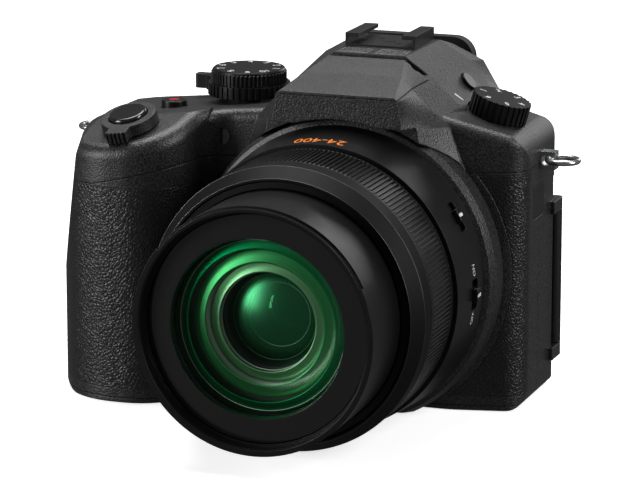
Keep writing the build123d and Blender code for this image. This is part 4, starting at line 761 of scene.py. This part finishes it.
# Marks on the switches and the body
# name, word, degrees round the barrel from the switch
SWITCH_WORDS = (("switch_on_print", "ON", 9.5), ("switch_off_print", "OFF", -9.5))
# node, body, words beside it
SWITCHES = (("upper_lens_switch", "switch_up", ()), ("lower_lens_switch", "switch_down", SWITCH_WORDS))
SWITCH_WORD_SIZE = 2.1
BAR_SIZE = (2.6, 0.9, 0.04)                     # length, width and height
BAR_SINK = 0.02
RECORD_TOP = top_centre("record_button")
RECORD_DOT_RADIUS, RECORD_DOT_HEIGHT = 1.5, 0.08
# share of the height, share of the radius
DOT_SHARES = ((0.0, 1.0), (0.7, 1.0), (1.0, 0.8))
INDEX_PLACE = (24.93, -0.4, 84.2)
INDEX_NORMAL = (0.688, -0.061, 0.723)
INDEX_RIGHT = (1, 0.3, 0)
INDEX_SIZE = (3.0, 0.7, 0.04)


def dot(name, origin, normal, radius, height, material, body):
    """A small raised disc with a rounded rim, on any surface."""
    place = basis(origin, (1, 0.13, 0.07), normal)
    points = []
    for lift, share in DOT_SHARES:
        for step in range(DISC_SIDES):
            angle = 2 * math.pi * step / DISC_SIDES
            flat = Vector((math.cos(angle), math.sin(angle), 0)) * radius * share
            points.append(place @ ((flat + Vector((0, 0, height * lift))) * MM))
    add_mesh(name, points, stack_faces(len(DOT_SHARES), DISC_SIDES), material, body, smooth=False)


def strip(name, origin, right, normal, size, material, body):
    """A thin bar with bevelled top edges, laid on a surface."""
    place = basis(origin, right, normal)
    length, width, height = (value * MM for value in size)
    bevel = min(width, height) / 4
    layers = ((0, 0), (height - bevel, 0), (height, bevel))
    points = []
    for lift, inset in layers:
        a = length / 2 - inset
        b = width / 2 - inset
        outline = ((-a, -b), (a, -b), (a, b), (-a, b))
        points += [place @ Vector((u, v, lift)) for u, v in outline]
    add_mesh(name, points, stack_faces(len(layers), len(outline)), material, body, smooth=False)


def switch_marks():
    """A white bar on each slide switch of the barrel, and the words at the lower one."""
    for name, body, words in SWITCHES:
        points = rest_points(name)
        middle = sum(points, Vector()) / len(points)
        outward = Vector((middle.x, 0, middle.z - AXIS_Z / MM)).normalized()
        turn = math.degrees(math.atan2(outward.z, outward.x))
        for piece, word, offset in words:
            barrel_print(piece, word, SWITCH_WORD_SIZE, middle.y, turn + offset, WHITE_INK)
        origin = Vector((0, middle.y, AXIS_Z / MM)) + outward * (radii(name)[1] - BAR_SINK)
        strip(name + "_bar", origin, (0, 1, 0), outward, BAR_SIZE, WHITE_INK, body)


def body_marks():
    """The record dot and the index line by the right dial."""
    dot("record_dot", RECORD_TOP, (0, 0, 1), RECORD_DOT_RADIUS, RECORD_DOT_HEIGHT, RED, "record")
    strip("drive_index", INDEX_PLACE, INDEX_RIGHT, INDEX_NORMAL, INDEX_SIZE, WHITE_INK, "camera")


# Camera
PIXELS = (640, 480)
FOCAL_PIXELS = 3545.2
EYE = (312.94 * MM, -911.2 * MM, 268.84 * MM)
YAW, PITCH = 0.34615, 0.23142
SENSOR = 36.0


def add_camera():
    """The camera at the photo's place and angle."""
    data = bpy.data.cameras.new("photo_camera")
    data.sensor_width = SENSOR
    data.lens = FOCAL_PIXELS * SENSOR / PIXELS[0]
    camera = bpy.data.objects.new("photo_camera", data)
    right = Vector((math.cos(YAW), math.sin(YAW), 0))
    ahead = Vector((-math.sin(YAW) * math.cos(PITCH), math.cos(YAW) * math.cos(PITCH), -math.sin(PITCH)))
    up = right.cross(ahead)
    turned = Matrix((right, up, -ahead)).transposed().to_4x4()
    camera.matrix_world = Matrix.Translation(Vector(EYE)) @ turned
    bpy.context.scene.collection.objects.link(camera)
    bpy.context.scene.camera = camera


# World, floor and lights, in metres and watts
WHITE_WORLD = 1.0
DIM_WORLD = 0.06
MIRRORED_WORLD = 0.06       # what mirrored rays see on top of the dim world
FLOOR_HALF = 6.0
FLOOR_DROP = 0.0002
FLOOR_GLOW = 0.7
LIGHT_TARGET = (0, 0, 0.05)
# name, place, width and height, power
SOFTBOXES = (
    ("left_softbox", (-0.85, -0.8, 0.24), (0.45, 0.7), 10),
    ("right_softbox", (0.85, -0.1, 0.45), (0.3, 0.8), 6),
    ("top_softbox", (-0.15, 0.25, 0.95), (0.8, 0.6), 10),
    ("back_softbox", (0.25, 1.3, 0.45), (0.6, 0.6), 2.2),
)


def add_world():
    """A world that is white to the camera and through glass, and dim to all other rays."""
    world = bpy.data.worlds.new("studio")
    world.use_nodes = True
    tree = world.node_tree
    background = tree.nodes["Background"]
    background.inputs["Color"].default_value = (1, 1, 1, 1)
    path = tree.nodes.new("ShaderNodeLightPath")
    seen = tree.nodes.new("ShaderNodeMath")
    seen.operation = "MAXIMUM"
    shown = tree.nodes.new("ShaderNodeMapRange")
    shown.inputs["To Min"].default_value = DIM_WORLD
    shown.inputs["To Max"].default_value = WHITE_WORLD
    mirrored = tree.nodes.new("ShaderNodeMath")
    mirrored.operation = "MULTIPLY_ADD"
    mirrored.inputs[1].default_value = MIRRORED_WORLD
    tree.links.new(path.outputs["Is Camera Ray"], seen.inputs[0])
    tree.links.new(path.outputs["Is Transmission Ray"], seen.inputs[1])
    tree.links.new(seen.outputs["Value"], shown.inputs["Value"])
    tree.links.new(path.outputs["Is Glossy Ray"], mirrored.inputs[0])
    tree.links.new(shown.outputs["Result"], mirrored.inputs[2])
    tree.links.new(mirrored.outputs["Value"], background.inputs["Strength"])
    bpy.context.scene.world = world


def add_floor():
    """A plain pale floor that keeps the object's shadow."""
    mesh = bpy.data.meshes.new("floor")
    a = FLOOR_HALF
    mesh.from_pydata([(-a, -a, 0), (a, -a, 0), (a, a, 0), (-a, a, 0)], [], [(0, 1, 2, 3)])
    floor = bpy.data.objects.new("floor", mesh)
    floor.location.z = -FLOOR_DROP
    paint = new_material("floor_paint", color=(0.9, 0.9, 0.9), roughness=0.7, specular=0.2)
    shader = paint.node_tree.nodes["Principled BSDF"]
    shader.inputs["Emission Color"].default_value = (1, 1, 1, 1)
    shader.inputs["Emission Strength"].default_value = FLOOR_GLOW
    floor.visible_glossy = False
    floor.visible_diffuse = False
    mesh.materials.append(paint)
    bpy.context.scene.collection.objects.link(floor)


def add_softbox(name, place, size, power):
    """A white rectangular lamp that faces the camera body."""
    data = bpy.data.lights.new(name, "AREA")
    data.shape = "RECTANGLE"
    data.size, data.size_y = size
    data.energy = power
    lamp = bpy.data.objects.new(name, data)
    lamp.location = place
    lamp.rotation_euler = (Vector(LIGHT_TARGET) - Vector(place)).to_track_quat("-Z", "Y").to_euler()
    bpy.context.scene.collection.objects.link(lamp)


def add_stage():
    """The world, the floor and the lights, shown without a colour grade."""
    add_world()
    add_floor()
    for values in SOFTBOXES:
        add_softbox(*values)
    bpy.context.scene.view_settings.view_transform = "Standard"


dress_nodes()
ribbed_ring()
lens_glass()
barrel_print("zoom_range_print", RANGE_TEXT, RANGE_SIZE, RANGE_Y, RANGE_TURN, ORANGE_INK)
mode_dial_marks()
mode_knurl()
drive_dial_marks()
switch_marks()
body_marks()
add_camera()
add_stage()
